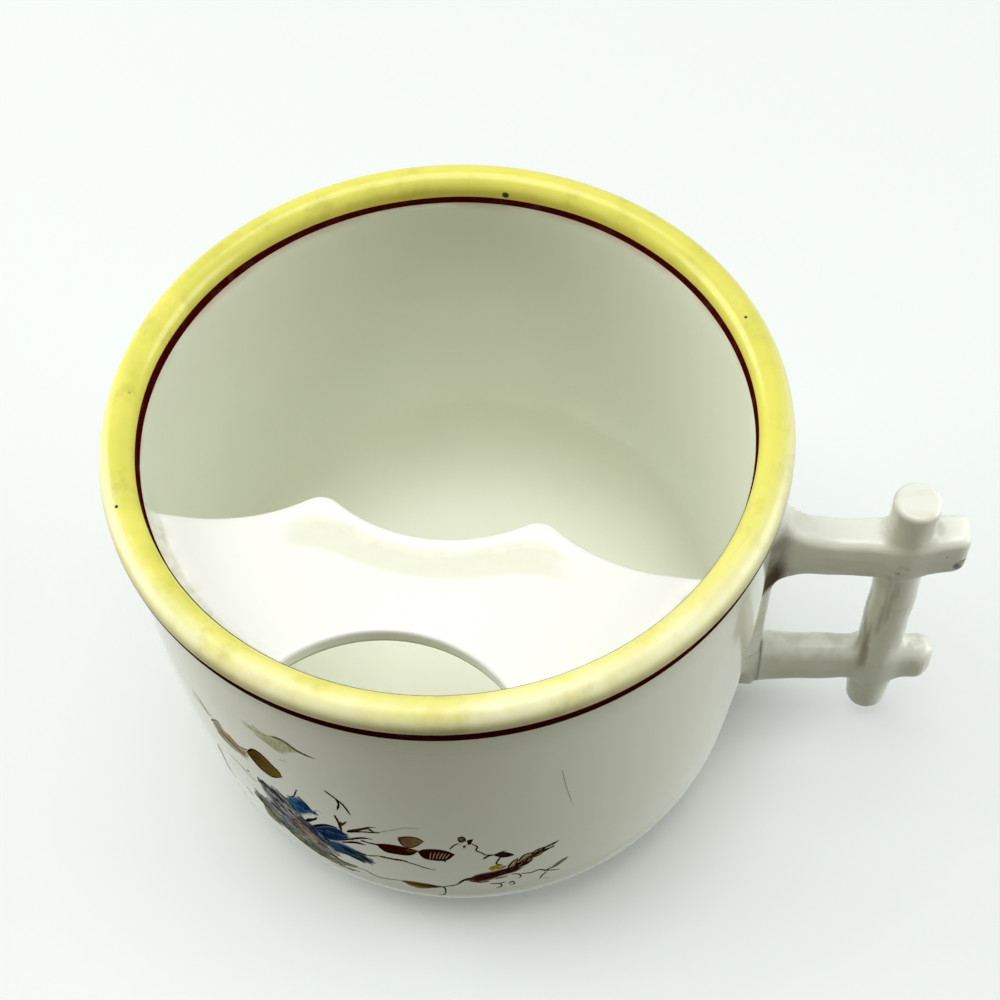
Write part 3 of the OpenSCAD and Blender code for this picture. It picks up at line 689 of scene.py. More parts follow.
def new_group(name, output, **inputs):
    """A Geometry Nodes tree with named inputs, as the group, its Tree and the inputs' sockets."""
    group = bpy.data.node_groups.new(name, "GeometryNodeTree")
    for key, value in inputs.items():
        kind = {int: "Int", float: "Float"}.get(type(value), value)
        socket = group.interface.new_socket(key, in_out="INPUT", socket_type="NodeSocket" + kind)
        if kind != value:
            socket.default_value = value
    group.interface.new_socket(output, in_out="OUTPUT", socket_type="NodeSocketGeometry")
    t = Tree(group)
    return group, t, t.node("NodeGroupInput").outputs


def dressed(t, geometry, finish):
    """The geometry with its instances made real and its material set."""
    real = t.node("GeometryNodeRealizeInstances", Geometry=geometry)
    return t.node("GeometryNodeSetMaterial", Geometry=real.outputs[0], Material=finish).outputs[0]


def lathe_tree():
    """The tree that turns a profile into a closed round piece."""
    group, t, given = new_group("lathe", "Piece", Profile="Geometry", Segments=96,
                                Weld=0.002 * MM, Finish="Material")
    count = t.node("GeometryNodeAttributeDomainSize", Geometry=given["Profile"])
    count = Wire(t, count.outputs["Point Count"])
    segments = Wire(t, given["Segments"])
    grid = t.node("GeometryNodeMeshGrid", Vertices_X=segments + 1, Vertices_Y=count)
    index = Wire(t, t.node("GeometryNodeInputIndex").outputs[0])
    along = index.mod(count)
    turn = (index / count).floor() / segments * (2 * math.pi)

    def from_profile(kind, field):
        return t.node("GeometryNodeSampleIndex", {"data_type": kind}, Geometry=given["Profile"],
                      Value=field, Index=along).outputs[0]

    place = t.node("GeometryNodeInputPosition").outputs[0]
    turned = t.node("ShaderNodeVectorRotate", {"rotation_type": "Z_AXIS"},
                    Vector=from_profile("FLOAT_VECTOR", place), Angle=turn)
    walked = t.node("GeometryNodeInputNamedAttribute", {"data_type": "FLOAT"}, Name="walked")
    marked = t.node("GeometryNodeStoreNamedAttribute", {"data_type": "FLOAT"},
                    Geometry=grid.outputs["Mesh"], Name="walked",
                    Value=from_profile("FLOAT", walked.outputs[0]))
    shaped = t.node("GeometryNodeSetPosition", Geometry=marked.outputs[0],
                    Position=turned.outputs[0])
    welded = t.node("GeometryNodeMergeByDistance", Geometry=shaped.outputs[0],
                    Distance=given["Weld"])
    t.node("NodeGroupOutput", Piece=dressed(t, welded.outputs[0], given["Finish"]))
    return group


def brush_mark_tree():
    """The tree that scatters small closed brush marks along a line, all in one flat plane."""
    group, t, given = new_group(
        "brush_marks_on_a_stem", "Marks", Stem="Geometry", Count=60, Seed=1, Long=MM, Wide=MM,
        Thick=MM, Spread=MM, Lean=0.5, Finish="Material")
    seed, lean, spread = (Wire(t, given[key]) for key in ("Seed", "Lean", "Spread"))

    def chance(low, high, more):
        made = t.node("FunctionNodeRandomValue", {"data_type": "FLOAT"}, i2=low, i3=high,
                      i8=seed + more)
        return Wire(t, made.outputs[1])

    stem = t.node("GeometryNodeMeshToCurve", Mesh=given["Stem"])
    marks = t.node("GeometryNodeCurveToPoints", {"mode": "COUNT"}, Curve=stem.outputs[0],
                   Count=given["Count"])
    way = t.node("ShaderNodeSeparateXYZ", Vector=marks.outputs["Tangent"]).outputs
    turn = chance(-1, 1, 1) * lean - Wire(t, way[2]).arctan2(Wire(t, way[0]))
    stray = t.node("ShaderNodeCombineXYZ", X=chance(-1, 1, 2) * spread,
                   Y=chance(-1, 0, 3) * given["Thick"], Z=chance(-1, 1, 4) * spread)
    placed = t.node("GeometryNodeSetPosition", Geometry=marks.outputs["Points"],
                    Offset=stray.outputs[0])
    dab = t.node("GeometryNodeMeshCylinder", Vertices=8, Radius=0.5, Depth=1.0)
    upright = t.node("GeometryNodeTransform", Geometry=dab.outputs["Mesh"],
                     Rotation=(math.pi / 2, 0, 0))
    size = t.node("ShaderNodeCombineXYZ", X=chance(0.55, 1, 5) * given["Long"],
                  Y=given["Thick"], Z=chance(0.5, 1, 6) * given["Wide"])
    angle = t.node("ShaderNodeCombineXYZ", Y=turn)
    dabs = t.node("GeometryNodeInstanceOnPoints", Points=placed.outputs[0],
                  Instance=upright.outputs[0], Rotation=angle.outputs[0], Scale=size.outputs[0])
    lot = t.node("GeometryNodeStoreNamedAttribute", {"data_type": "FLOAT", "domain": "INSTANCE"},
                 Geometry=dabs.outputs[0], Name="lot", Value=chance(0, 1, 7))
    t.node("NodeGroupOutput", Marks=dressed(t, lot.outputs[0], given["Finish"]))
    return group


def grown(name, mesh, group, **inputs):
    """Run a tree on a mesh and return the result as a plain mesh of its own."""
    seed = bpy.data.objects.new(name + "_seed", mesh)
    bpy.context.collection.objects.link(seed)
    modifier = seed.modifiers.new("grow", "NODES")
    modifier.node_group = group
    for item in group.interface.items_tree:
        if item.in_out == "INPUT" and item.name in inputs:
            modifier[item.identifier] = inputs[item.name]
    graph = bpy.context.evaluated_depsgraph_get()
    result = bpy.data.meshes.new_from_object(seed.evaluated_get(graph))
    seed.modifiers.remove(modifier)
    bpy.data.objects.remove(seed)
    result.name = name
    return result


def turned_mesh(name, points, walked, segments, finish):
    """A lathe piece from points (radius, height), marked by how far the wall is walked."""
    profile = open_line(name + "_profile", [(r, 0, z) for r, z in points])
    mark(profile, walked=walked)
    lathe = bpy.data.node_groups.get("lathe") or lathe_tree()
    return grown(name, profile, lathe, Segments=segments, Finish=finish)


def soft_min(a, b, k):
    """The smaller of two distances, run together softly where they differ by less than k."""
    h = np.maximum(k - np.abs(a - b), 0) / k
    return np.minimum(a, b) - h * h * k / 4


def round_max(a, b, r):
    """The larger of two distances, with the edge between them rounded by r."""
    return np.minimum(-r, np.maximum(a, b)) + np.hypot(np.maximum(a + r, 0),
                                                       np.maximum(b + r, 0))


def smooth(low, high, x):
    """0 where x is low, 1 where it is high, and smooth between."""
    t = np.clip((x - low) / (high - low), 0, 1)
    return t * t * (3 - 2 * t)


def skin_of(field, low, high, step):
    """Points and quads of the surface where field(x, y, z) is zero inside a box."""
    low = np.array(low)
    marks = [np.arange(a, b + step, step) for a, b in zip(low, high)]
    value = field(marks[0][:, None, None], marks[1][None, :, None], marks[2][None, None, :])
    inside = value < 0
    n = np.array(inside.shape)
    quads, hits = [], []
    for a in range(3):
        b, c = (a + 1) % 3, (a + 2) % 3
        first, second = [slice(None)] * 3, [slice(None)] * 3
        first[a], second[a] = slice(0, -1), slice(1, None)
        at = np.argwhere(inside[tuple(first)] != inside[tuple(second)])
        at = at[(at[:, b] > 0) & (at[:, b] < n[b] - 1) & (at[:, c] > 0) & (at[:, c] < n[c] - 1)]
        beyond = at.copy()
        beyond[:, a] += 1
        v0, v1 = value[tuple(at.T)], value[tuple(beyond.T)]
        hit = at.astype(float)
        hit[:, a] += v0 / (v0 - v1)
        ring = []
        for db, dc in ((-1, -1), (0, -1), (0, 0), (-1, 0)):
            cell = at.copy()
            cell[:, b] += db
            cell[:, c] += dc
            ring.append(np.ravel_multi_index(tuple(cell.T), n))
        ring = np.stack(ring, 1)
        back = v0 > 0
        ring[back] = ring[back][:, ::-1]
        quads.append(ring)
        hits.append(hit)
    quads, hits = np.concatenate(quads), np.concatenate(hits)
    faces = np.unique(quads.ravel(), return_inverse=True)[1].reshape(-1)
    count = np.bincount(faces)
    points = np.stack([np.bincount(faces, np.repeat(hits[:, d], 4)) / count for d in range(3)], 1)
    return drawn_to(field, low + points * step, step), faces.reshape(-1, 4)


def drawn_to(field, points, step, rounds=3, least_slope=0.3):
    """Draw points onto the surface where the field is zero, by half a step at most each time."""
    nudge = step / 8
    for _ in range(rounds):
        here = field(*points.T)
        slope = np.stack([(field(*(points + nudge * np.eye(3)[d]).T) - here) / nudge
                          for d in range(3)], 1)
        steep = np.maximum((slope ** 2).sum(1), least_slope)
        move = slope * (here / steep)[:, None]
        far = np.maximum(np.linalg.norm(move, axis=1) / (step / 2), 1)
        points = points - move / far[:, None]
    return points


def hollows(mesh, rounds=6, full=0.16 * MM):
    """How deep each point of a mesh lies in a narrow hollow, from 0 to 1."""
    points = points_of(mesh)
    n = len(points)
    normals = np.empty(3 * n)
    mesh.vertex_normals.foreach_get("vector", normals)
    edges = np.empty(2 * len(mesh.edges), int)
    mesh.edges.foreach_get("vertices", edges)
    a, b = edges.reshape(-1, 2).T
    degree = np.bincount(np.r_[a, b], minlength=n)[:, None]

    def evened(values):
        total = np.stack([np.bincount(a, values[b, d], n) + np.bincount(b, values[a, d], n)
                          for d in range(values.shape[1])], 1)
        return total / degree

    even = points
    for _ in range(rounds):
        even = evened(even)
    depth = ((even - points) * normals.reshape(-1, 3)).sum(1)[:, None]
    depth = evened(evened(depth))[:, 0]
    return np.clip(depth / full, 0, 1)


def sideways(line):
    """A unit step to the left of a flat line at each of its points."""
    ahead = np.gradient(line, axis=0)
    across = np.stack([-ahead[:, 1], ahead[:, 0]], 1)
    return across / np.linalg.norm(across, axis=1)[:, None]


class FlatDrawing:
    """Brush strokes drawn flat as thin closed shells: x along the wall, z up, y into it."""

    span_steps = 8
    fewest_marks = 5
    leaf_columns = 7
    sunk_films = 4
    line_lift = 3
    outline_lift = 3.5
    outline_cover = 0.9
    least_solid = 0.06

    def __init__(self, size, inks):
        self.size = size
        self.ink = {key: np.array(getattr(inks, key)) for key in inks.__annotations__}
        self.points, self.faces, self.colours, self.covers = [], [], [], []
        self.count = 0
        self.luck = np.random.default_rng(size.seed)

    def drawn(self, values):
        """A soft line through points given as turn and height."""
        p = np.array(values, float).reshape(-1, 2)
        p = p * (math.radians(1) * self.size.lay_r, MM)
        p = np.concatenate([[2 * p[0] - p[1]], p, [2 * p[-1] - p[-2]]])
        t = np.linspace(0, 1, self.span_steps, endpoint=False)[:, None]
        spans = [b + (c - a) * t / 2 + (2 * a - 5 * b + 4 * c - d) * t ** 2 / 2
                 + (3 * b - a - 3 * c + d) * t ** 3 / 2
                 for a, b, c, d in zip(p, p[1:], p[2:], p[3:])]
        return np.concatenate([*spans, p[-2:-1]])

    def marked(self, line, n=None):
        """The line with n even marks, or one every step."""
        far = np.r_[0, np.cumsum(np.linalg.norm(np.diff(line, axis=0), axis=1))]
        n = n or max(int(far[-1] / self.size.step), self.fewest_marks)
        at = np.linspace(0, far[-1], n)
        return np.stack([np.interp(at, far, line[:, d]) for d in (0, 1)], 1)

    def shell(self, rows, colours, covers, lift):
        """Add a closed shell whose top is the grid of points in rows."""
        n, m = rows.shape[:2]
        rim = [(i, 0) for i in range(n - 1)] + [(n - 1, j) for j in range(m - 1)]
        rim += [(i, m - 1) for i in range(n - 1, 0, -1)] + [(0, j) for j in range(m - 1, 0, -1)]
        loop = np.array([rows[k] for k in rim])
        after = np.roll(loop, -1, 0)
        if (loop[:, 0] * after[:, 1] - loop[:, 1] * after[:, 0]).sum() < 0:
            rows, colours, covers = rows[:, ::-1], colours[:, ::-1], covers[:, ::-1]
        at = self.count + np.arange(n * m).reshape(n, m)
        quads = np.stack([at[:-1, :-1], at[1:, :-1], at[1:, 1:], at[:-1, 1:]], -1).reshape(-1, 4)
        edge = np.array([at[k] for k in rim])
        ahead = np.roll(edge, -1)
        below = n * m
        walls = np.stack([ahead, edge, edge + below, ahead + below], 1)
        self.faces.append(np.concatenate([quads, quads[:, ::-1] + below, walls]))
        flat = rows.reshape(-1, 2)
        for depth in (-lift, self.sunk_films * self.size.film):
            self.points.append(np.c_[flat[:, 0], np.full(len(flat), depth), flat[:, 1]])
            self.colours.append(colours.reshape(-1, 3))
            self.covers.append(covers.ravel())
        self.count += 2 * n * m

    def tints(self, first, last, n, m):
        """Colours for n rows of m points that run from the first ink to the last."""
        share = np.linspace(0, 1, n)[:, None]
        along = self.ink[first] * (1 - share) + self.ink[last] * share
        return np.repeat(along[:, None], m, 1)

    def line(self, first, last, wide, cover, values):
        """Add a line, its width in millimetres, through points given as turn and height."""
        self.stroke(self.drawn(values), first, last, wide * MM, cover, self.line_lift)

    def stroke(self, path, first, last, wide, cover, lift):
        """A stroke that starts half pressed, swells and thins out towards its end."""
        middle = self.marked(path)
        n = len(middle)
        across = sideways(middle)
        t = np.linspace(0, 1, n)
        half = wide / 2 * np.clip(np.minimum(6 * t + 0.5, 5 * (1 - t)), 0.22, 1)
        half = (half * self.luck.uniform(0.8, 1.15, n))[:, None]
        rows = np.stack([middle - across * half, middle + across * half], 1)
        self.shell(rows, self.tints(first, last, n, 2), np.full((n, 2), cover ** 0.4),
                   lift * self.size.film)

    def leaf(self, first, last, outline, cover, upper, lower):
        """A wash between two edges, dappled, and soft at its rim where it has no outline."""
        upper, lower = self.drawn(upper), self.drawn(lower)
        n = max(len(self.marked(upper)), len(self.marked(lower)))
        m = self.leaf_columns
        upper, lower = self.marked(upper, n), self.marked(lower, n)
        middle, half = (upper + lower) / 2, (upper - lower) / 2
        across = sideways(middle)
        thin = np.linalg.norm(half, axis=1) < self.size.film
        sign = np.sign((half * across).sum()) or 1
        half[thin] = sign * across[thin] * self.size.film
        share = np.linspace(-1, 1, m)
        rows = middle[:, None] + half[:, None] * share[None, :, None]
        solid = np.ones((n, m))
        if not outline:
            t = np.linspace(0, 1, n)[:, None]
            solid = (1 - np.abs(share) ** 4) * np.clip(6 * np.minimum(t, 1 - t), 0, 1)
            solid = self.least_solid + (1 - self.least_solid) * solid
        dapple = self.luck.uniform(0.75, 1.3, (n, m, 1))
        self.shell(rows, self.tints(first, last, n, m) * dapple, cover ** 0.35 * solid,
                   self.size.film * (1 + self.luck.random()))
        if outline:
            for side in (upper, lower):
                self.stroke(side, outline, outline, self.size.outline_w, self.outline_cover,
                            self.outline_lift)

    def mesh(self, name):
        """All that has been drawn, as one mesh that keeps its inks."""
        made = new_mesh(name, np.concatenate(self.points), np.concatenate(self.faces).tolist())
        paint(made, np.concatenate(self.colours), np.concatenate(self.covers))
        return made


def laid_on_wall(mesh, section, lay_r):
    """Lay a flat drawing on the outside of the wall, with the same side out."""
    x, y, z = points_of(mesh).T
    r = section.outer_r(z) - y
    move_points(mesh, r * np.cos(x / lay_r), r * np.sin(x / lay_r), z)


# Finishes
#
# A noise's scale is in cells per metre, and above() and below() pick the part of its range that
# shows. A coat is a factor and a colour, laid over what comes before it.


def rgba(colour):
    """A colour as a shader takes it: a socket stays one, and three numbers get an alpha."""
    return colour if isinstance(colour, bpy.types.NodeSocket) else (*colour, 1)


def mixed(t, factor, under, over):
    """One colour over another by a factor."""
    return t.node("ShaderNodeMix", {"data_type": "RGBA"}, i0=factor, i6=rgba(under),
                  i7=rgba(over)).outputs[2]


class Finish(Tree):
    """A material's tree, with the places that its patterns are read from."""

    def __init__(self, name):
        self.material = bpy.data.materials.new(name)
        self.material.use_nodes = True
        super().__init__(self.material.node_tree)
        self.shader = self.tree.nodes["Principled BSDF"]
        self.place = self.node("ShaderNodeTexCoord").outputs["Object"]
        apart = self.node("ShaderNodeSeparateXYZ", Vector=self.place).outputs
        self.x, self.y, self.z = (Wire(self, apart[i]) for i in range(3))
        self.radius = (self.x ** 2 + self.y ** 2) ** 0.5
        self.azimuth = self.y.arctan2(self.x)

    def noise(self, scale, detail=2, roughness=0.5, stretch=None):
        """Cloudy noise, drawn out where the stretch along x, y or z is small."""
        place = self.place
        if stretch:
            place = self.node("ShaderNodeMapping", Vector=place, Scale=stretch).outputs[0]
        made = self.node("ShaderNodeTexNoise", Vector=place, Scale=scale, Detail=detail,
                         Roughness=roughness)
        return Wire(self, made.outputs[0])

    def attribute(self, name, output="Fac"):
        """A number or colour that the mesh keeps at its points."""
        made = self.node("ShaderNodeAttribute", {"attribute_name": name})
        return Wire(self, made.outputs[output])

    def dots(self, scale, chance, size):
        """Sparse round spots: 1 in a spot and 0 outside."""
        cells = self.node("ShaderNodeTexVoronoi", Vector=self.place, Scale=scale)
        lot = self.node("ShaderNodeSeparateColor", Color=cells.outputs["Color"]).outputs[0]
        chosen = Wire(self, lot).less_than(chance)
        return chosen * Wire(self, cells.outputs["Distance"]).below(size * 0.6, size)

    def spot(self, x, y, z, r):
        """1 inside a small ball and 0 outside, from its centre and radius in millimetres."""
        off = self.node("ShaderNodeVectorMath", {"operation": "DISTANCE"}, i0=self.place,
                        i1=(x * MM, y * MM, z * MM)).outputs["Value"]
        return Wire(self, off).below(0.6 * r * MM, r * MM)

    def with_spots(self, factor, *spots):
        """The factor, and 1 in each spot given as a place and a radius."""
        for spot in spots:
            factor = factor.larger(self.spot(*spot))
        return factor

    def bump(self, height, strength, distance):
        """A normal that a height tilts."""
        return self.node("ShaderNodeBump", Height=height, Strength=strength,
                         Distance=distance).outputs[0]

    def coated(self, base, *coats):
        """Lay each coat over the base in turn."""
        for factor, tint in coats:
            base = mixed(self, factor, base, tint)
        return base

    def glaze(self, base, roughness, bump=None, specular=0.5):
        """Set the shader of a glossy glaze; roughness may vary over the surface."""
        sockets = self.shader.inputs
        for name, value in (("Base Color", base), ("Roughness", roughness), ("Normal", bump)):
            value = getattr(value, "socket", value)
            if isinstance(value, bpy.types.NodeSocket):
                self.tree.links.new(sockets[name], value)
            elif value is not None:
                sockets[name].default_value = value
        sockets["IOR"].default_value = 1.5
        sockets["Specular IOR Level"].default_value = specular
        return self.material


def body_finish(colours, enamel, handle):
    """Greyish white: pink halos by the lines, dirt at handle and foot, painted shade under the rim
    inside and out.
    """
    f = Finish("porcelain_body_glaze")
    inner = f.attribute("walked").above(0.499, 0.501)
    outer = 1 - inner
    cloud = f.noise(28, 3)
    # Painted shade: the well darkens from 44 mm up to 68 mm, under the rim.
    well = mixed(f, f.z.above(44 * MM, 68 * MM), colours.inside, colours.well_top)
    near_inner = (enamel.inner_low - f.z).below(0, 1.9 * MM)
    inner_halo = inner * near_inner * f.noise(140, 3).above(0.25, 0.7)
    below_outer = (enamel.outer_low - f.z).above(-1 * MM, 1.6 * MM)
    outer_halo = outer * (1 - below_outer) * f.z.above(enamel.outer_low - 3 * MM,
                                                       enamel.outer_low)
    at_root = f.y.absolute().below(handle.stick_half_w, handle.stick_half_w + 1.6 * MM)
    at_root = at_root * f.x.above(30 * MM, 35 * MM) * outer
    at_root = at_root * f.z.below(handle.stick_top, handle.stick_top + 1.5 * MM)
    low = f.z.below(0.2 * MM, 7 * MM) * outer
    foot = f.z.below(0.05 * MM, 0.25 * MM) * outer
    # Painted shade on the shoulder: darker over the 8 mm below the outer line, as under the roll;
    # the same mask roughens the glaze there.
    under_line = outer * f.z.above(enamel.outer_low - 8 * MM, enamel.outer_low - 1 * MM)
    base = f.coated(
        mixed(f, inner, colours.outside, well),
        (cloud.above(0.42, 0.75) * 0.12, colours.bisque),
        (inner_halo * 0.75 + outer_halo * 0.3, colours.halo),
        (at_root * f.noise(420, 3).above(0.35, 0.7) * 0.6, colours.grime_and_shade),
        (low * f.noise(90, 4).above(0.3, 0.8) * 0.35, colours.grime_and_shade),
        (foot, colours.bisque),
        (f.dots(170, 0.03, 0.07) * 0.55, colours.speck),
        (under_line * (1 - below_outer * 0.6) * 0.38, colours.grime_and_shade))
    rough = 0.1 + cloud * 0.06 + foot * 0.5 + low * 0.1 + inner * 0.38 + under_line * 0.4
    ripple = f.noise(55, 2) * 0.8 + f.noise(400, 2) * 0.05 - f.dots(300, 0.04, 0.1) * 0.12
    return f.glaze(base, rough, f.bump(ripple, 0.35, 0.4 * MM))


def guard_finish(colours, low):
    """White, duller in the channel and by the wall, with dirt in the hollows and painted shade on
    the hole's edge face.
    """
    f = Finish("porcelain_guard_glaze")
    cloud = f.noise(40, 3)
    dip = (f.attribute("channel") + (f.noise(160, 3) - 0.5) * 0.7).above(0.2, 0.75)
    from_wall = f.attribute("from_wall") + (f.noise(220, 3) - 0.5) * 0.7
    near_wall = from_wall.below(1.15, 1.75)
    dirt = f.noise(500, 3)
    # Painted shade: the hole's lower edge face takes the well's greener tint, and its lower brink
    # is darker.
    edge = f.attribute("edge_face")
    brink = edge * f.z.below(low + 0.3 * MM, low + 0.9 * MM)
    base = f.coated(
        mixed(f, cloud.above(0.45, 0.8) * 0.1, colours.guard, colours.inside),
        (dip * 0.9, colours.channel),
        (near_wall * 0.8, colours.outside),
        (near_wall * dirt.above(0.5, 0.75) * 0.14, colours.grime_and_shade),
        (f.attribute("hollow") * dirt.above(0.3, 0.7) * 0.5, colours.grime_and_shade),
        (edge * 0.8, colours.inside),
        (brink * 0.7, colours.grime_and_shade),
        (f.dots(150, 0.02, 0.06) * 0.4, colours.speck))
    ripple = f.noise(70, 2) + f.noise(500, 2) * 0.06
    return f.glaze(base, 0.2 + cloud * 0.08, f.bump(ripple, 0.3, 0.3 * MM), 0.35)


def handle_finish(colours, handle):
    """White, streaked along the sticks, old dirt in the joins and at the upper root, painted shade
    on front faces.
    """
    f = Finish("porcelain_handle_glaze")
    cloud = f.noise(60, 3)
    fine = f.noise(450, 4)
    slip = f.attribute("from_wall").below(0.02, 0.8)
    # Painted shade: the front faces, towards -y, take a warm darker tint, patchy by a noise.
    warm_front_shade = f.y.below(-handle.bar_half_w, -0.4 * handle.bar_half_w)
    hollow = f.attribute("hollow")
    bar_streak = f.noise(300, 4, stretch=(0.2, 1, 1)).above(0.52, 0.75)
    post_streak = f.noise(330, 4, stretch=(1, 1, 0.15)).above(0.45, 0.68)
    beside = f.x.below(handle.post_x - 1.5 * MM, handle.post_x + 1.5 * MM)
    beside = beside * f.x.above(handle.post_x - 1.35 * handle.post_r,
                                handle.post_x - 1.05 * handle.post_r)
    between_bars = f.z.above(15 * MM, 19 * MM) * f.z.below(43 * MM, 45 * MM)
    root_low = handle.upper_top - handle.upper_root_h
    root = (f.x + fine * 2.4 * MM).below(handle.stick_face + 1.1 * MM,
                                         handle.stick_face + 4 * MM)
    root = root * f.z.above(root_low - 1 * MM, root_low + 2.5 * MM)
    root = root * f.z.below(handle.upper_top - 2.5 * MM, handle.upper_top + 1.5 * MM)
    root = root * f.y.below(-2.4 * MM, 0.2 * MM) * (0.7 + fine)
    root = root * (1 - f.z.above(root_low + 3 * MM, root_low + 10 * MM) * 0.45)
    seam = (f.x - (handle.stick_face + 0.25 * MM)).absolute().below(0, 0.35 * MM)
    seam = seam * f.z.below(20 * MM, 22 * MM)
    corner = f.spot(70.4, -2.9, 47.0, 1.7) * fine.above(0.34, 0.5)
    corner = corner.larger(f.spot(62, -3.0, 46.3, 1.7) * fine.above(0.45, 0.65) * 0.6)
    base = f.coated(
        mixed(f, cloud.above(0.4, 0.8) * 0.1, colours.handle, colours.outside),
        (slip, colours.outside),
        (warm_front_shade * cloud.above(0.3, 0.6) * 0.36, colours.bisque),
        (hollow * fine.above(0.25, 0.6) * 0.75, colours.grime_and_shade),
        (bar_streak * 0.13, colours.grime_and_shade),
        (post_streak * (0.2 + beside * 0.6) * between_bars, colours.grime_and_shade),
        (root.smaller(1), colours.root_grime),
        (seam * (0.3 + fine * 0.6), colours.root_grime),
        (corner, colours.root_grime),
        (f.with_spots(f.dots(420, 0.02, 0.08) * 0.6, (46.1, -3.1, 51.7, 0.24),
                      (45, -3.1, 54.4, 0.2), (67.8, -3.1, 49.3, 0.2)), colours.speck))
    ripple = f.noise(160, 3) + f.noise(520, 3, stretch=(0.3, 1, 1)) * 0.3
    rough = 0.16 + hollow * 0.2 + cloud * 0.06 + root * 0.7
    return f.glaze(base, rough, f.bump(ripple, 0.7, 0.35 * MM), 0.4)


def band_finish(colours, roll_c):
    """Yellow, worn, stained and painted with highlight by how far round the roll a place is and
    which way it faces.
    """
    f = Finish("rim_yellow_enamel")
    up, out = f.z - roll_c[1], f.radius - roll_c[0]
    round_roll = (up.arctan2(out) + math.pi / 2).mod(2 * math.pi) / math.pi - 0.5
    front = 0.5 - f.azimuth.sine() / 2
    right = 0.5 + f.azimuth.cosine() / 2
    bright_front = front.above(0.55, 0.85)
    patch = f.noise(45, 4, 0.6)
    fine = f.noise(260, 4, 0.6)
    dab = f.noise(120, 4, 0.65).above(0.46, 0.66)
    # Painted highlight and wear: the roll pales on its outer and upper side, more at the front and
    # right, and in worn patches.
    worn_to = front * 0.45 - 0.15
    worn_and_highlit = round_roll.below(worn_to, worn_to + 0.45) * 0.85
    worn_and_highlit = worn_and_highlit + patch.above(0.52, 0.72) * 0.3 + fine.above(0.55, 0.7) * 0.12
    worn_and_highlit = worn_and_highlit + front.above(0.5, 1) * (0.22 + right * 0.35) - (1 - right) * 0.25
    deep = round_roll.above(0.72, 1.05) * (0.35 + patch * 0.8) * (1 - front * 0.75)
    olive = (patch.above(0.42, 0.58) * 0.32 + dab * 0.27) * round_roll.above(0.1, 0.5)
    yellow_blotch = f.noise(60, 4, 0.6).above(0.45, 0.62) * round_roll.above(0.05, 0.4)
    orange_blotch = f.noise(190, 4, 0.6).above(0.42, 0.72) * round_roll.below(0.4, 0.6)
    edge = round_roll.below(-0.1, 0.26) * (0.55 + fine * 0.5) * (1 - bright_front)
    under = round_roll.below(0.02, 0.26) * bright_front * (0.7 + dab * 0.3)
    # Darker and mottled on the roll's underside, where it faces down.
    low = round_roll.below(-0.3, 0.02) * (0.25 + fine.above(0.4, 0.6) * 0.5)
    base = f.coated(
        mixed(f, worn_and_highlit.larger(0).smaller(1), colours.yellow, colours.pale),
        (deep.smaller(1), colours.orange),
        (olive * (1 - right * 0.7), colours.olive_stain),
        (right.above(0.6, 0.95) * (1 - front) * 0.36, colours.olive_stain),
        (yellow_blotch * bright_front * 0.5, colours.yellow),
        (orange_blotch * bright_front * 0.3, colours.orange),
        (edge.smaller(1), colours.outside),
        (under, colours.under_roll),
        (low, colours.grime_and_shade),
        (dab * fine.above(0.45, 0.65) * 0.16, colours.grime_and_shade),
        (f.with_spots(f.dots(240, 0.03, 0.07) * 0.5, (4.7, 40.1, 71.85, 0.62),
                      (-39.8, -17, 73.96, 0.3), (38.5, 17.5, 74, 0.26)), colours.speck))
    ripple = f.noise(90, 2) + fine * 0.1
    return f.glaze(base, 0.24 + worn_and_highlit * 0.12, f.bump(ripple, 0.3, 0.3 * MM), 0.4)


def line_finish(name, colours, fringe_top, fringe_low, wear):
    """Maroon, with a pink fringe where the height falls from fringe_top to fringe_low."""
    f = Finish(name)
    fine = f.noise(520, 4, 0.65)
    base = f.coated(
        mixed(f, fine.above(0.5, 0.75) * wear, colours.maroon, colours.halo),
        ((f.z + fine * 0.15 * MM).below(fringe_low, fringe_top), colours.halo))
    return f.glaze(base, 0.35, f.bump(fine, 0.2, 0.05 * MM), 0)


def flower_finish():
    """The painted ink, mottled, and thinned where the stipple lets the glaze through."""
    f = Finish("printed_flower_enamel")
    stipple = f.noise(2600, 2, 0.6)
    patch = f.noise(420, 3, 0.6)
    shade = f.node("ShaderNodeVectorMath", {"operation": "SCALE"}, i0=f.attribute("ink", "Color"),
                   Scale=0.72 + patch * 0.56)
    cover = f.attribute("cover") * (1 - stipple.above(0.55, 0.75) * 0.14)
    f.tree.links.new(f.shader.inputs["Alpha"], cover.socket)
    return f.glaze(shade.outputs[0], 0.3, f.bump(stipple, 0.1, 0.02 * MM), 0)


# Enamel


def stretch_of(side, top, low, steps=6):
    """The stretch of a side from one height down to another."""
    side = side[np.argsort(side[:, 1])]
    z = np.linspace(top, low, steps + 1)
    return np.c_[np.interp(z, side[:, 1], side[:, 0]), z]


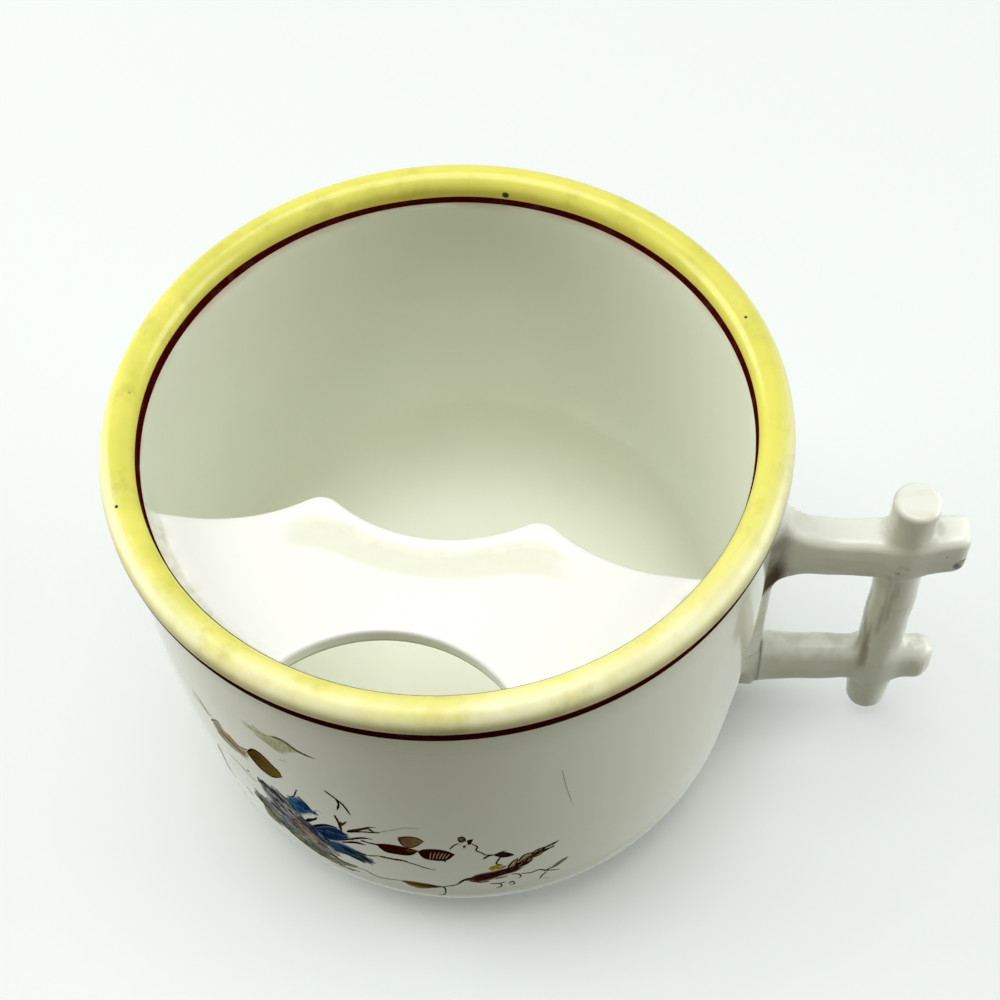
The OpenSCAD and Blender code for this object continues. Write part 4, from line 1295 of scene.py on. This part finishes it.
def skin_round(points, film, films_out, lead=0.03 * MM, dive=-0.2):
    """A closed thin skin: the points set out from the glaze, and back a film inside it.

    The two ends dive into the glaze over a short lead, so that no edge stands up.
    """
    points = joined(points)
    first, last = points[1] - points[0], points[-2] - points[-1]
    points = np.concatenate([
        points[:1], points[:1] + first / np.hypot(*first) * lead, points[1:-1],
        points[-1:] + last / np.hypot(*last) * lead, points[-1:]])
    ahead = np.gradient(points, axis=0)
    off = np.c_[ahead[:, 1], -ahead[:, 0]] / np.linalg.norm(ahead, axis=1)[:, None]
    taper = np.ones(len(points))
    taper[[0, -1]] = dive
    proud = points + off * (film * taper * films_out)[:, None]
    sunk = points - off * film
    return np.concatenate([proud, sunk[::-1], proud[:1]])


def climbed(mesh, flank, low, top, climb):
    """Let the inner line's upper edge climb the roll from the back to the front, unevenly."""
    least, long_waver, short_waver = 0.16 * MM, 0.05 * MM, 0.03 * MM
    x, y, z = points_of(mesh).T
    r, turn = np.hypot(x, y), np.arctan2(y, x)
    edge = top + least + climb * (1 - np.sin(turn)) / 2
    edge = edge + long_waver * np.sin(5 * turn + 1) + short_waver * np.sin(13 * turn)
    high = low + (z - low) / (top - low) * (edge - low)
    new_r = r + np.interp(high, flank[:, 1], flank[:, 0]) - np.interp(z, flank[:, 1], flank[:, 0])
    move_points(mesh, x * new_r / r, y * new_r / r, high)


# Guard


class GuardForm:
    """The guard as distances in metres, which are below zero inside it."""

    glaze_gap = 0.05 * MM
    most_past = 0.4 * MM
    valley = 5 * MM
    edge_round = 1.05 * MM
    hole_round = 0.5 * MM
    spare = 4 * MM
    back_share = 0.2

    def __init__(self, size, section):
        self.size, self.section = size, section
        self.cos, self.sin = math.cos(size.turn), math.sin(size.turn)
        self.shelf_top = size.top - size.lip_h
        self.notch_c = np.array([0, size.notch_reach - size.notch_r])
        self.flank_c = np.array([size.flank_end, size.shelf_reach - size.flank_r])
        a, b = size.notch_r + size.point_r, size.flank_r + size.point_r
        v = self.flank_c - self.notch_c
        span = np.linalg.norm(v)
        x = (a * a - b * b + span * span) / (2 * span)
        y = math.sqrt(a * a - x * x)
        self.point_c = self.notch_c + v / span * x + np.array([-v[1], v[0]]) / span * y

    def plan(self, x, y):
        """Distances from the scalloped edge and the hole, and how far out to the side."""
        g = self.size
        side = np.abs(x * self.cos - y * self.sin)
        reach = -(x * self.sin + y * self.cos)
        to_notch = np.hypot(side - self.notch_c[0], reach - self.notch_c[1]) - g.notch_r
        to_flank = np.where(
            side < g.flank_end,
            np.hypot(side - self.flank_c[0], reach - self.flank_c[1]) - g.flank_r,
            reach - g.shelf_reach)
        n, f = self.notch_c - self.point_c, self.flank_c - self.point_c
        px, py = side - self.point_c[0], reach - self.point_c[1]
        in_point = (n[0] * py - n[1] * px > 0) & (px * f[1] - py * f[0] > 0)
        edge = np.where(in_point, g.point_r - np.hypot(px, py), np.minimum(to_notch, to_flank))
        soft = soft_min(to_notch, to_flank, self.valley)
        hole = np.hypot(side, reach - g.hole_reach - g.hole_r) - g.hole_r
        return edge, soft, hole, side

    def relief(self, soft, side):
        """Height over the shelf of the lip, the channel and the plateau behind it."""
        g = self.size
        lip = 1 - smooth(0.35 * g.lip_w, 1.3 * g.lip_w, soft)
        back = smooth(g.lip_w + 0.3 * g.channel_w, g.lip_w + 1.1 * g.channel_w, soft)
        relief = g.lip_h * lip + g.plateau_h * back
        return relief + (g.plateau_h - relief) * smooth(g.relief_from, g.relief_to, side)

    def parts(self, x, y, z):
        """Distances from the bare shelf and from the well's wall."""
        edge, soft, hole, side = self.plan(x, y)
        top = self.shelf_top + self.relief(soft, side)
        outline = np.maximum(-edge, -hole)
        rounding = np.where(edge < hole, self.edge_round, self.hole_round)
        shelf = round_max(outline, np.maximum(z - top, self.size.low - z), rounding)
        return shelf, np.hypot(x, y) - self.section.well_r(z)

    def field(self, x, y, z):
        """Distance from the shelf with its slip fillet at the wall."""
        fillet = self.size.fillet
        shelf, past = self.parts(x, y, z)
        whole = soft_min(shelf, self.glaze_gap - past, fillet)
        return np.maximum(np.maximum(whole, past - self.most_past), shelf - fillet)

    def mesh(self, name, rim_r):
        """The guard as a mesh, marked for its finish."""
        g = self.size
        points, faces = skin_of(
            self.field, (-rim_r, -rim_r, g.low - self.spare),
            (rim_r, -self.back_share * g.notch_reach, g.top + self.spare), g.grain)
        made = new_mesh(name, points, faces.tolist())
        _, soft, hole, side = self.plan(points[:, 0], points[:, 1])
        up = points[:, 2] - self.shelf_top
        channel = smooth(0.6 * g.lip_w, 1.15 * g.lip_w, soft)
        channel *= 1 - smooth(g.lip_w + 0.55 * g.channel_w, g.lip_w + 1.05 * g.channel_w, soft)
        channel *= 1 - smooth(g.relief_from, g.relief_to, side)
        mark(made, channel=channel * (up > -0.3 * MM),
             from_wall=np.clip(-self.parts(*points.T)[1] / MM, 0, 9), hollow=hollows(made),
             edge_face=smooth(-0.2 * MM, -1 * MM, up) * (hole < 0.6 * MM))
        return made


# Handle


class HandleForm:
    """The handle as distances in metres, which are below zero inside it."""

    long_sway, long_wave = 0.12 * MM, 3.1 * MM
    short_sway, short_wave = 0.1 * MM, 1.7 * MM
    thinned = 0.35 * MM
    plate_round = 0.6 * MM
    plate_tip_round = 0.7 * MM
    plate_slope, plate_crown = 0.28, 0.3 * MM
    foot_slope = 0.75
    post_top_round = 0.75 * MM
    post_foot_round = 1.5 * MM
    knob_spread = 4 * MM
    end_round = 0.5 * MM
    bevel = 2.2 * MM
    in_wall = 0.5 * MM
    spare = 2 * MM

    def __init__(self, size, section):
        self.size, self.section = size, section
        self.reach = size.bar_tip - size.stick_face
        self.upper_z = size.upper_top - size.upper_root_h / 2
        self.lower_z = size.lower_foot + size.lower_root_h / 2

    def bar(self, x, y, z, mid, rise, sag, high, root_h, knob, squareness, belly):
        """Distance from a bar that rises and sags, with a flared root and a knob at the post."""
        h = self.size
        t = (x - h.stick_face) / self.reach
        middle = mid + rise * t - 4 * sag * t * (1 - t)
        tall = high * (1 + (h.tip_share - 1) * np.clip(t, 0, 1))
        tall = tall + (root_h - high) * np.clip(1 - t * self.reach / h.root_len, 0, 1) ** 2
        wide = h.bar_half_w + knob * np.exp(-((x - h.post_x) / self.knob_spread) ** 2)
        wide = wide - belly * np.minimum(((z - middle) / (tall / 2)) ** 2, 2)
        r = squareness * h.bar_half_w
        qy, qz = np.abs(y) - wide + r, np.abs(z - middle) - tall / 2 + r
        across = np.hypot(np.maximum(qy, 0), np.maximum(qz, 0))
        across = across + np.minimum(np.maximum(qy, qz), 0) - r
        ends = np.maximum(x - h.bar_tip, h.stick_face - self.spare - x)
        bevel = (across + ends + self.bevel * squareness) / math.sqrt(2)
        return round_max(round_max(across, ends, self.end_round), bevel, self.end_round)

    def sticks(self, x, y, z):
        """Distances from the wall stick, the outer stick and the two bars."""
        h = self.size
        sway = self.long_sway * np.sin(z / self.long_wave)
        sway = sway + self.short_sway * np.sin(z / self.short_wave + x / MM)
        half_w = h.stick_half_w - self.thinned * (1 - smooth(19 * MM, 20.5 * MM, z))
        face = h.stick_face - self.plate_slope * np.abs(y + 0.6 * MM) + self.plate_crown
        plate = round_max(np.abs(y) - half_w - sway / 3, x - face, self.plate_round)
        foot = h.stick_low + self.foot_slope * np.abs(y + 0.5 * MM)
        plate = round_max(plate, np.maximum(z - h.stick_top, foot - z), self.plate_tip_round)
        thin = h.post_r - self.thinned * (1 - smooth(h.post_low, h.lower_foot + 2 * MM, z))
        post = np.hypot(x - h.post_x + sway / 2, y) - thin
        post = round_max(post, z - h.post_top, self.post_top_round)
        post = round_max(post, h.post_low - z, self.post_foot_round)
        upper = self.bar(x, y, z + sway / 2, self.upper_z, h.upper_rise, h.upper_sag, h.upper_h,
                         h.upper_root_h, knob=0.6 * MM, squareness=0.42, belly=0.35 * MM)
        lower = self.bar(x, y, z - sway / 2, self.lower_z, h.lower_rise, h.lower_sag, h.lower_h,
                         h.lower_root_h, knob=-0.7 * MM, squareness=0.7, belly=1 * MM)
        return plate, post, upper, lower

    def parts(self, x, y, z):
        """Distances from the joined sticks and from the cup's outside."""
        h = self.size
        plate, post, upper, lower = self.sticks(x, y, z)
        whole = soft_min(soft_min(plate, upper, h.join), lower, h.groove)
        low = 1 - smooth(self.lower_z, self.upper_z, z)
        whole = soft_min(whole, post, h.join + (h.lower_join - h.join) * low)
        return whole, np.hypot(x, y) - self.section.outer_r(z)

    def field(self, x, y, z):
        """Distance from the casting with its slip at the wall."""
        h = self.size
        whole, out = self.parts(x, y, z)
        pad = 0.8 * MM + h.luting * smooth(h.stick_low + 4 * MM, h.stick_low + 7 * MM, z)
        luted = soft_min(whole, out + 0.05 * MM, pad)
        return np.maximum(np.maximum(luted, -out - self.in_wall), whole - h.luting - 1 * MM)

    def mesh(self, name):
        """The handle as a mesh, marked for its finish."""
        h = self.size
        spread = h.luting + self.spare
        wide = h.stick_half_w + spread
        points, faces = skin_of(
            self.field,
            (0.85 * self.section.outer_r(h.stick_low), -wide, h.post_low - self.spare),
            (h.bar_tip + 1 * MM, wide, h.stick_top + spread), h.grain)
        made = new_mesh(name, points, faces.tolist())
        mark(made, hollow=hollows(made),
             from_wall=np.clip(self.parts(*points.T)[1] / MM, 0, 9))
        return made


# Operators


class BuildBody(bpy.types.Operator):
    """Turn the cup's body from its section"""
    bl_idname = "cup.body"
    bl_label = "Cup body"

    def execute(self, context):
        scene = context.scene
        section = Section(scene.cup_body)
        walked = np.arange(len(section.points)) >= section.inner_from
        finish = body_finish(scene.cup_colours, scene.cup_enamel, scene.cup_handle)
        mesh = turned_mesh("cup_body_glazed", section.points, walked, scene.cup_body.segments,
                           finish)
        new_piece(mesh, finish, "body_glaze", "cup_body")
        return {"FINISHED"}


class BuildEnamel(bpy.types.Operator):
    """Lay the yellow band and the two maroon lines on the rim"""
    bl_idname = "cup.enamel"
    bl_label = "Rim band and lines"

    def execute(self, context):
        scene = context.scene
        enamel, colours = scene.cup_enamel, scene.cup_colours
        section = Section(scene.cup_body)
        roll_z = section.roll_c[1]
        inner_low = enamel.inner_low - 0.1 * MM
        under_line = 0.25 * MM
        band = joined(
            stretch_of(section.outside, roll_z, enamel.outer_top - under_line)[::-1],
            section.roll, stretch_of(section.inside, roll_z, enamel.inner_top - under_line))
        outer = stretch_of(section.outside, enamel.outer_top, enamel.outer_low)[::-1]
        inner = stretch_of(section.inside, enamel.inner_top, inner_low)
        outer_fringe = (enamel.outer_low + 0.3 * MM, enamel.outer_low + 0.05 * MM)
        inner_fringe = (inner_low + 0.1 * MM, inner_low)
        pieces = (
            ("rim_band", band, 1, band_finish(colours, section.roll_c), "yellow_enamel"),
            ("outer_line", outer, 1.4,
             line_finish("outer_line_enamel", colours, *outer_fringe, 0.05), "maroon_enamel"),
            ("inner_line", inner, 2,
             line_finish("inner_line_enamel", colours, *inner_fringe, 0.04), "maroon_enamel"))
        for node, points, films_out, finish, slot in pieces:
            skin = skin_round(points, enamel.film, films_out)
            mesh = turned_mesh(node + "_enamel", skin, np.zeros(len(skin)),
                               scene.cup_body.segments, finish)
            if points is inner:
                flank = joined(section.roll[ROLL_STEPS // 2:], section.side)[::-1]
                climbed(mesh, flank, inner_low, enamel.inner_top, enamel.inner_climb)
            new_piece(mesh, finish, slot, node)
        return {"FINISHED"}


class BuildGuard(bpy.types.Operator):
    """Press the guard with its lip, channel and drinking hole, and lute it to the wall"""
    bl_idname = "cup.guard"
    bl_label = "Guard"

    def execute(self, context):
        scene = context.scene
        form = GuardForm(scene.cup_guard, Section(scene.cup_body))
        new_piece(form.mesh("mustache_guard_glazed", scene.cup_body.rim_r),
                  guard_finish(scene.cup_colours, scene.cup_guard.low), "guard_glaze",
                  "mustache_guard")
        return {"FINISHED"}


class BuildHandle(bpy.types.Operator):
    """Form the handle of four crossed sticks as one casting"""
    bl_idname = "cup.handle"
    bl_label = "Handle"

    def execute(self, context):
        scene = context.scene
        form = HandleForm(scene.cup_handle, Section(scene.cup_body))
        new_piece(form.mesh("handle_casting"), handle_finish(scene.cup_colours, scene.cup_handle),
                  "body_glaze", "handle_wall_stick", "handle_upper_bar", "handle_lower_bar",
                  "handle_outer_stick")
        return {"FINISHED"}


class BuildFlowers(bpy.types.Operator):
    """Draw the spray of flowers and lay it on the wall under the guard"""
    bl_idname = "cup.flowers"
    bl_label = "Flowers"

    mark_films = 5
    cover_spread = 0.25
    ink_shuffle, cover_shuffle = 997, 7
    sharp_from = math.radians(35)

    def execute(self, context):
        scene = context.scene
        size = scene.cup_flowers
        section = Section(scene.cup_body)
        finish = flower_finish()
        drawing = FlatDrawing(size, scene.cup_inks)
        for leaf in LEAVES:
            drawing.leaf(*leaf)
        for line in LINES:
            drawing.line(*line)
        meshes = [drawing.mesh("printed_flowers")]
        tree = brush_mark_tree()
        for name, inks, count, long, wide, stray, lean, cover, points in BUNDLES:
            stem = drawing.marked(drawing.drawn(points))
            marks = grown(name, open_line(name + "_stem", np.insert(stem, 1, 0, axis=1)), tree,
                          Count=int(count * size.fullness), Seed=size.seed, Long=long * MM,
                          Wide=wide * MM, Thick=self.mark_films * size.film,
                          Spread=stray * MM, Lean=lean, Finish=finish)
            lot = np.empty(len(marks.vertices))
            marks.attributes["lot"].data.foreach_get("value", lot)
            order = np.array([drawing.ink[key] for key in inks])
            chosen = (lot * self.ink_shuffle).astype(int) % len(inks)
            more = self.cover_spread * (lot * self.cover_shuffle % 1)
            paint(marks, order[chosen], np.minimum(cover + more, 1))
            meshes.append(marks)
        for mesh in meshes:
            laid_on_wall(mesh, section, size.lay_r)
            new_piece(mesh, finish, "maroon_enamel")
            mesh.set_sharp_from_angle(angle=self.sharp_from)
        return {"FINISHED"}


class BuildStage(bpy.types.Operator):
    """Set the floor, the lamps, the world and the camera"""
    bl_idname = "cup.stage"
    bl_label = "Stage"

    table = screen(243, 248, 246)
    table_half = 4.0
    table_bounce = (0.22, 0.22, 0.145)
    table_glow, table_clear = 0.95, 0.52
    fade_from, fade_to = 0.4, 1.3
    shade_r, shade_to_r, shade_depth = 0.039, 0.058, 0.8
    room_tint = (1, 1, 0.82)
    room_light, room_shown = 0.1, 0.95
    lamps = (
        ("overhead_softbox", (-0.05, 0.02, 1.0), 0.8, 7, (1, 0.998, 0.985)),
        ("left_softbox", (-0.85, 0.12, 0.36), 0.7, 6.1, (1, 1, 0.985)),
        ("right_softbox", (0.9, 0.08, 0.34), 0.7, 5, (0.97, 1, 0.985)),
    )

    @staticmethod
    def straight(tree, path):
        """1 for a ray that shows the stage to the camera, by itself or in a glaze."""
        camera, glossy, through = (Wire(tree, path["Is %s Ray" % kind])
                                   for kind in ("Camera", "Glossy", "Transmission"))
        return camera.larger(glossy).larger(through)

    def floor(self, context):
        """A pale table that keeps the cup's shadow and fades out into the background."""
        half = self.table_half
        mesh = new_mesh("floor", [(-half, -half, 0), (half, -half, 0), (half, half, 0),
                                  (-half, half, 0)], [(0, 1, 2, 3)])
        floor = bpy.data.objects.new("floor", mesh)
        context.collection.objects.link(floor)
        f = Finish("pale_table")
        path = f.node("ShaderNodeLightPath").outputs
        seen = self.straight(f, path)
        f.glaze(mixed(f, seen, self.table_bounce, self.table), 0.8, specular=0)
        glow = f.node("ShaderNodeEmission", Color=rgba(self.table), Strength=self.table_glow)
        shaded = f.radius.below(self.shade_r, self.shade_to_r) * self.shade_depth
        clear = self.table_clear * (1 - Wire(f, path["Is Camera Ray"]) * shaded)
        clear = clear + (1 - clear) * f.radius.above(self.fade_from, self.fade_to)
        both = f.node("ShaderNodeMixShader", i0=seen * clear, i1=f.shader.outputs[0],
                      i2=glow.outputs[0])
        f.tree.links.new(f.tree.nodes["Material Output"].inputs["Surface"], both.outputs[0])
        mesh.materials.append(f.material)

    def room(self, scene):
        """A dim room that lights the cup evenly and shows as the table's white."""
        world = bpy.data.worlds.new("studio")
        world.use_nodes = True
        room = Tree(world.node_tree)
        seen = self.straight(room, room.node("ShaderNodeLightPath").outputs)
        back = room.tree.nodes["Background"].inputs
        strength = self.room_light + seen * (self.room_shown - self.room_light)
        room.tree.links.new(back["Color"], mixed(room, seen, self.room_tint, self.table))
        room.tree.links.new(back["Strength"], strength.socket)
        scene.world = world

    def softboxes(self, context):
        """Round soft lamps that all face the middle of the cup."""
        middle = Vector((0, 0, 0.04))
        for name, place, across, watts, tint in self.lamps:
            data = bpy.data.lights.new(name, "AREA")
            data.shape, data.size, data.energy, data.color = "DISK", across, watts, tint
            lamp = bpy.data.objects.new(name, data)
            aim = (middle - Vector(place)).to_track_quat("-Z", "Y")
            lamp.matrix_world = Matrix.LocRotScale(Vector(place), aim, None)
            context.collection.objects.link(lamp)

    def camera(self, context):
        """A camera that stands and looks as the photograph's did."""
        place = (0.02427, -0.13763, 0.25966)
        right = Vector((0.9964, 0.0773, -0.0348)).normalized()
        ahead = Vector((-0.0720, 0.5546, -0.8290)).normalized()
        data = bpy.data.cameras.new("camera")
        data.sensor_width, data.lens = 36, 64.8
        data.clip_start, data.clip_end = 0.01, 50
        camera = bpy.data.objects.new("camera", data)
        turn = Matrix((right, right.cross(ahead).normalized(), -ahead)).transposed()
        camera.matrix_world = Matrix.Translation(place) @ turn.to_4x4()
        context.collection.objects.link(camera)
        context.scene.camera = camera

    def execute(self, context):
        self.floor(context)
        self.room(context.scene)
        self.softboxes(context)
        self.camera(context)
        context.scene.view_settings.view_transform = "Standard"
        return {"FINISHED"}


class CupPanel(bpy.types.Panel):
    """Lists the cup's pieces, sizes and colours"""
    bl_idname = "VIEW3D_PT_cup"
    bl_label = "Mustache cup"
    bl_space_type = "VIEW_3D"
    bl_region_type = "UI"
    bl_category = "Cup"

    def draw(self, context):
        for title, attribute, group in GROUPS:
            box = self.layout.box()
            box.label(text=title)
            for key in group.__annotations__:
                box.prop(getattr(context.scene, attribute), key)
        for operator in OPERATORS:
            self.layout.operator(operator.bl_idname)


GROUPS = (
    ("Body", "cup_body", CupBodySizes),
    ("Guard", "cup_guard", GuardSizes),
    ("Handle", "cup_handle", HandleSizes),
    ("Enamel", "cup_enamel", EnamelSizes),
    ("Flowers", "cup_flowers", FlowerSizes),
    ("Colours", "cup_colours", CupColours),
    ("Inks", "cup_inks", InkColours),
)
OPERATORS = (BuildStage, BuildBody, BuildEnamel, BuildGuard, BuildHandle, BuildFlowers)


def register():
    for _, attribute, group in GROUPS:
        bpy.utils.register_class(group)
        setattr(bpy.types.Scene, attribute, PointerProperty(type=group))
    for made in (*OPERATORS, CupPanel):
        bpy.utils.register_class(made)


def unregister():
    for made in (CupPanel, *reversed(OPERATORS)):
        bpy.utils.unregister_class(made)
    for _, attribute, group in reversed(GROUPS):
        delattr(bpy.types.Scene, attribute)
        bpy.utils.unregister_class(group)


def main():
    register()
    for operator in OPERATORS:
        group, name = operator.bl_idname.split(".")
        getattr(getattr(bpy.ops, group), name)()


if __name__ == "__main__":
    main()
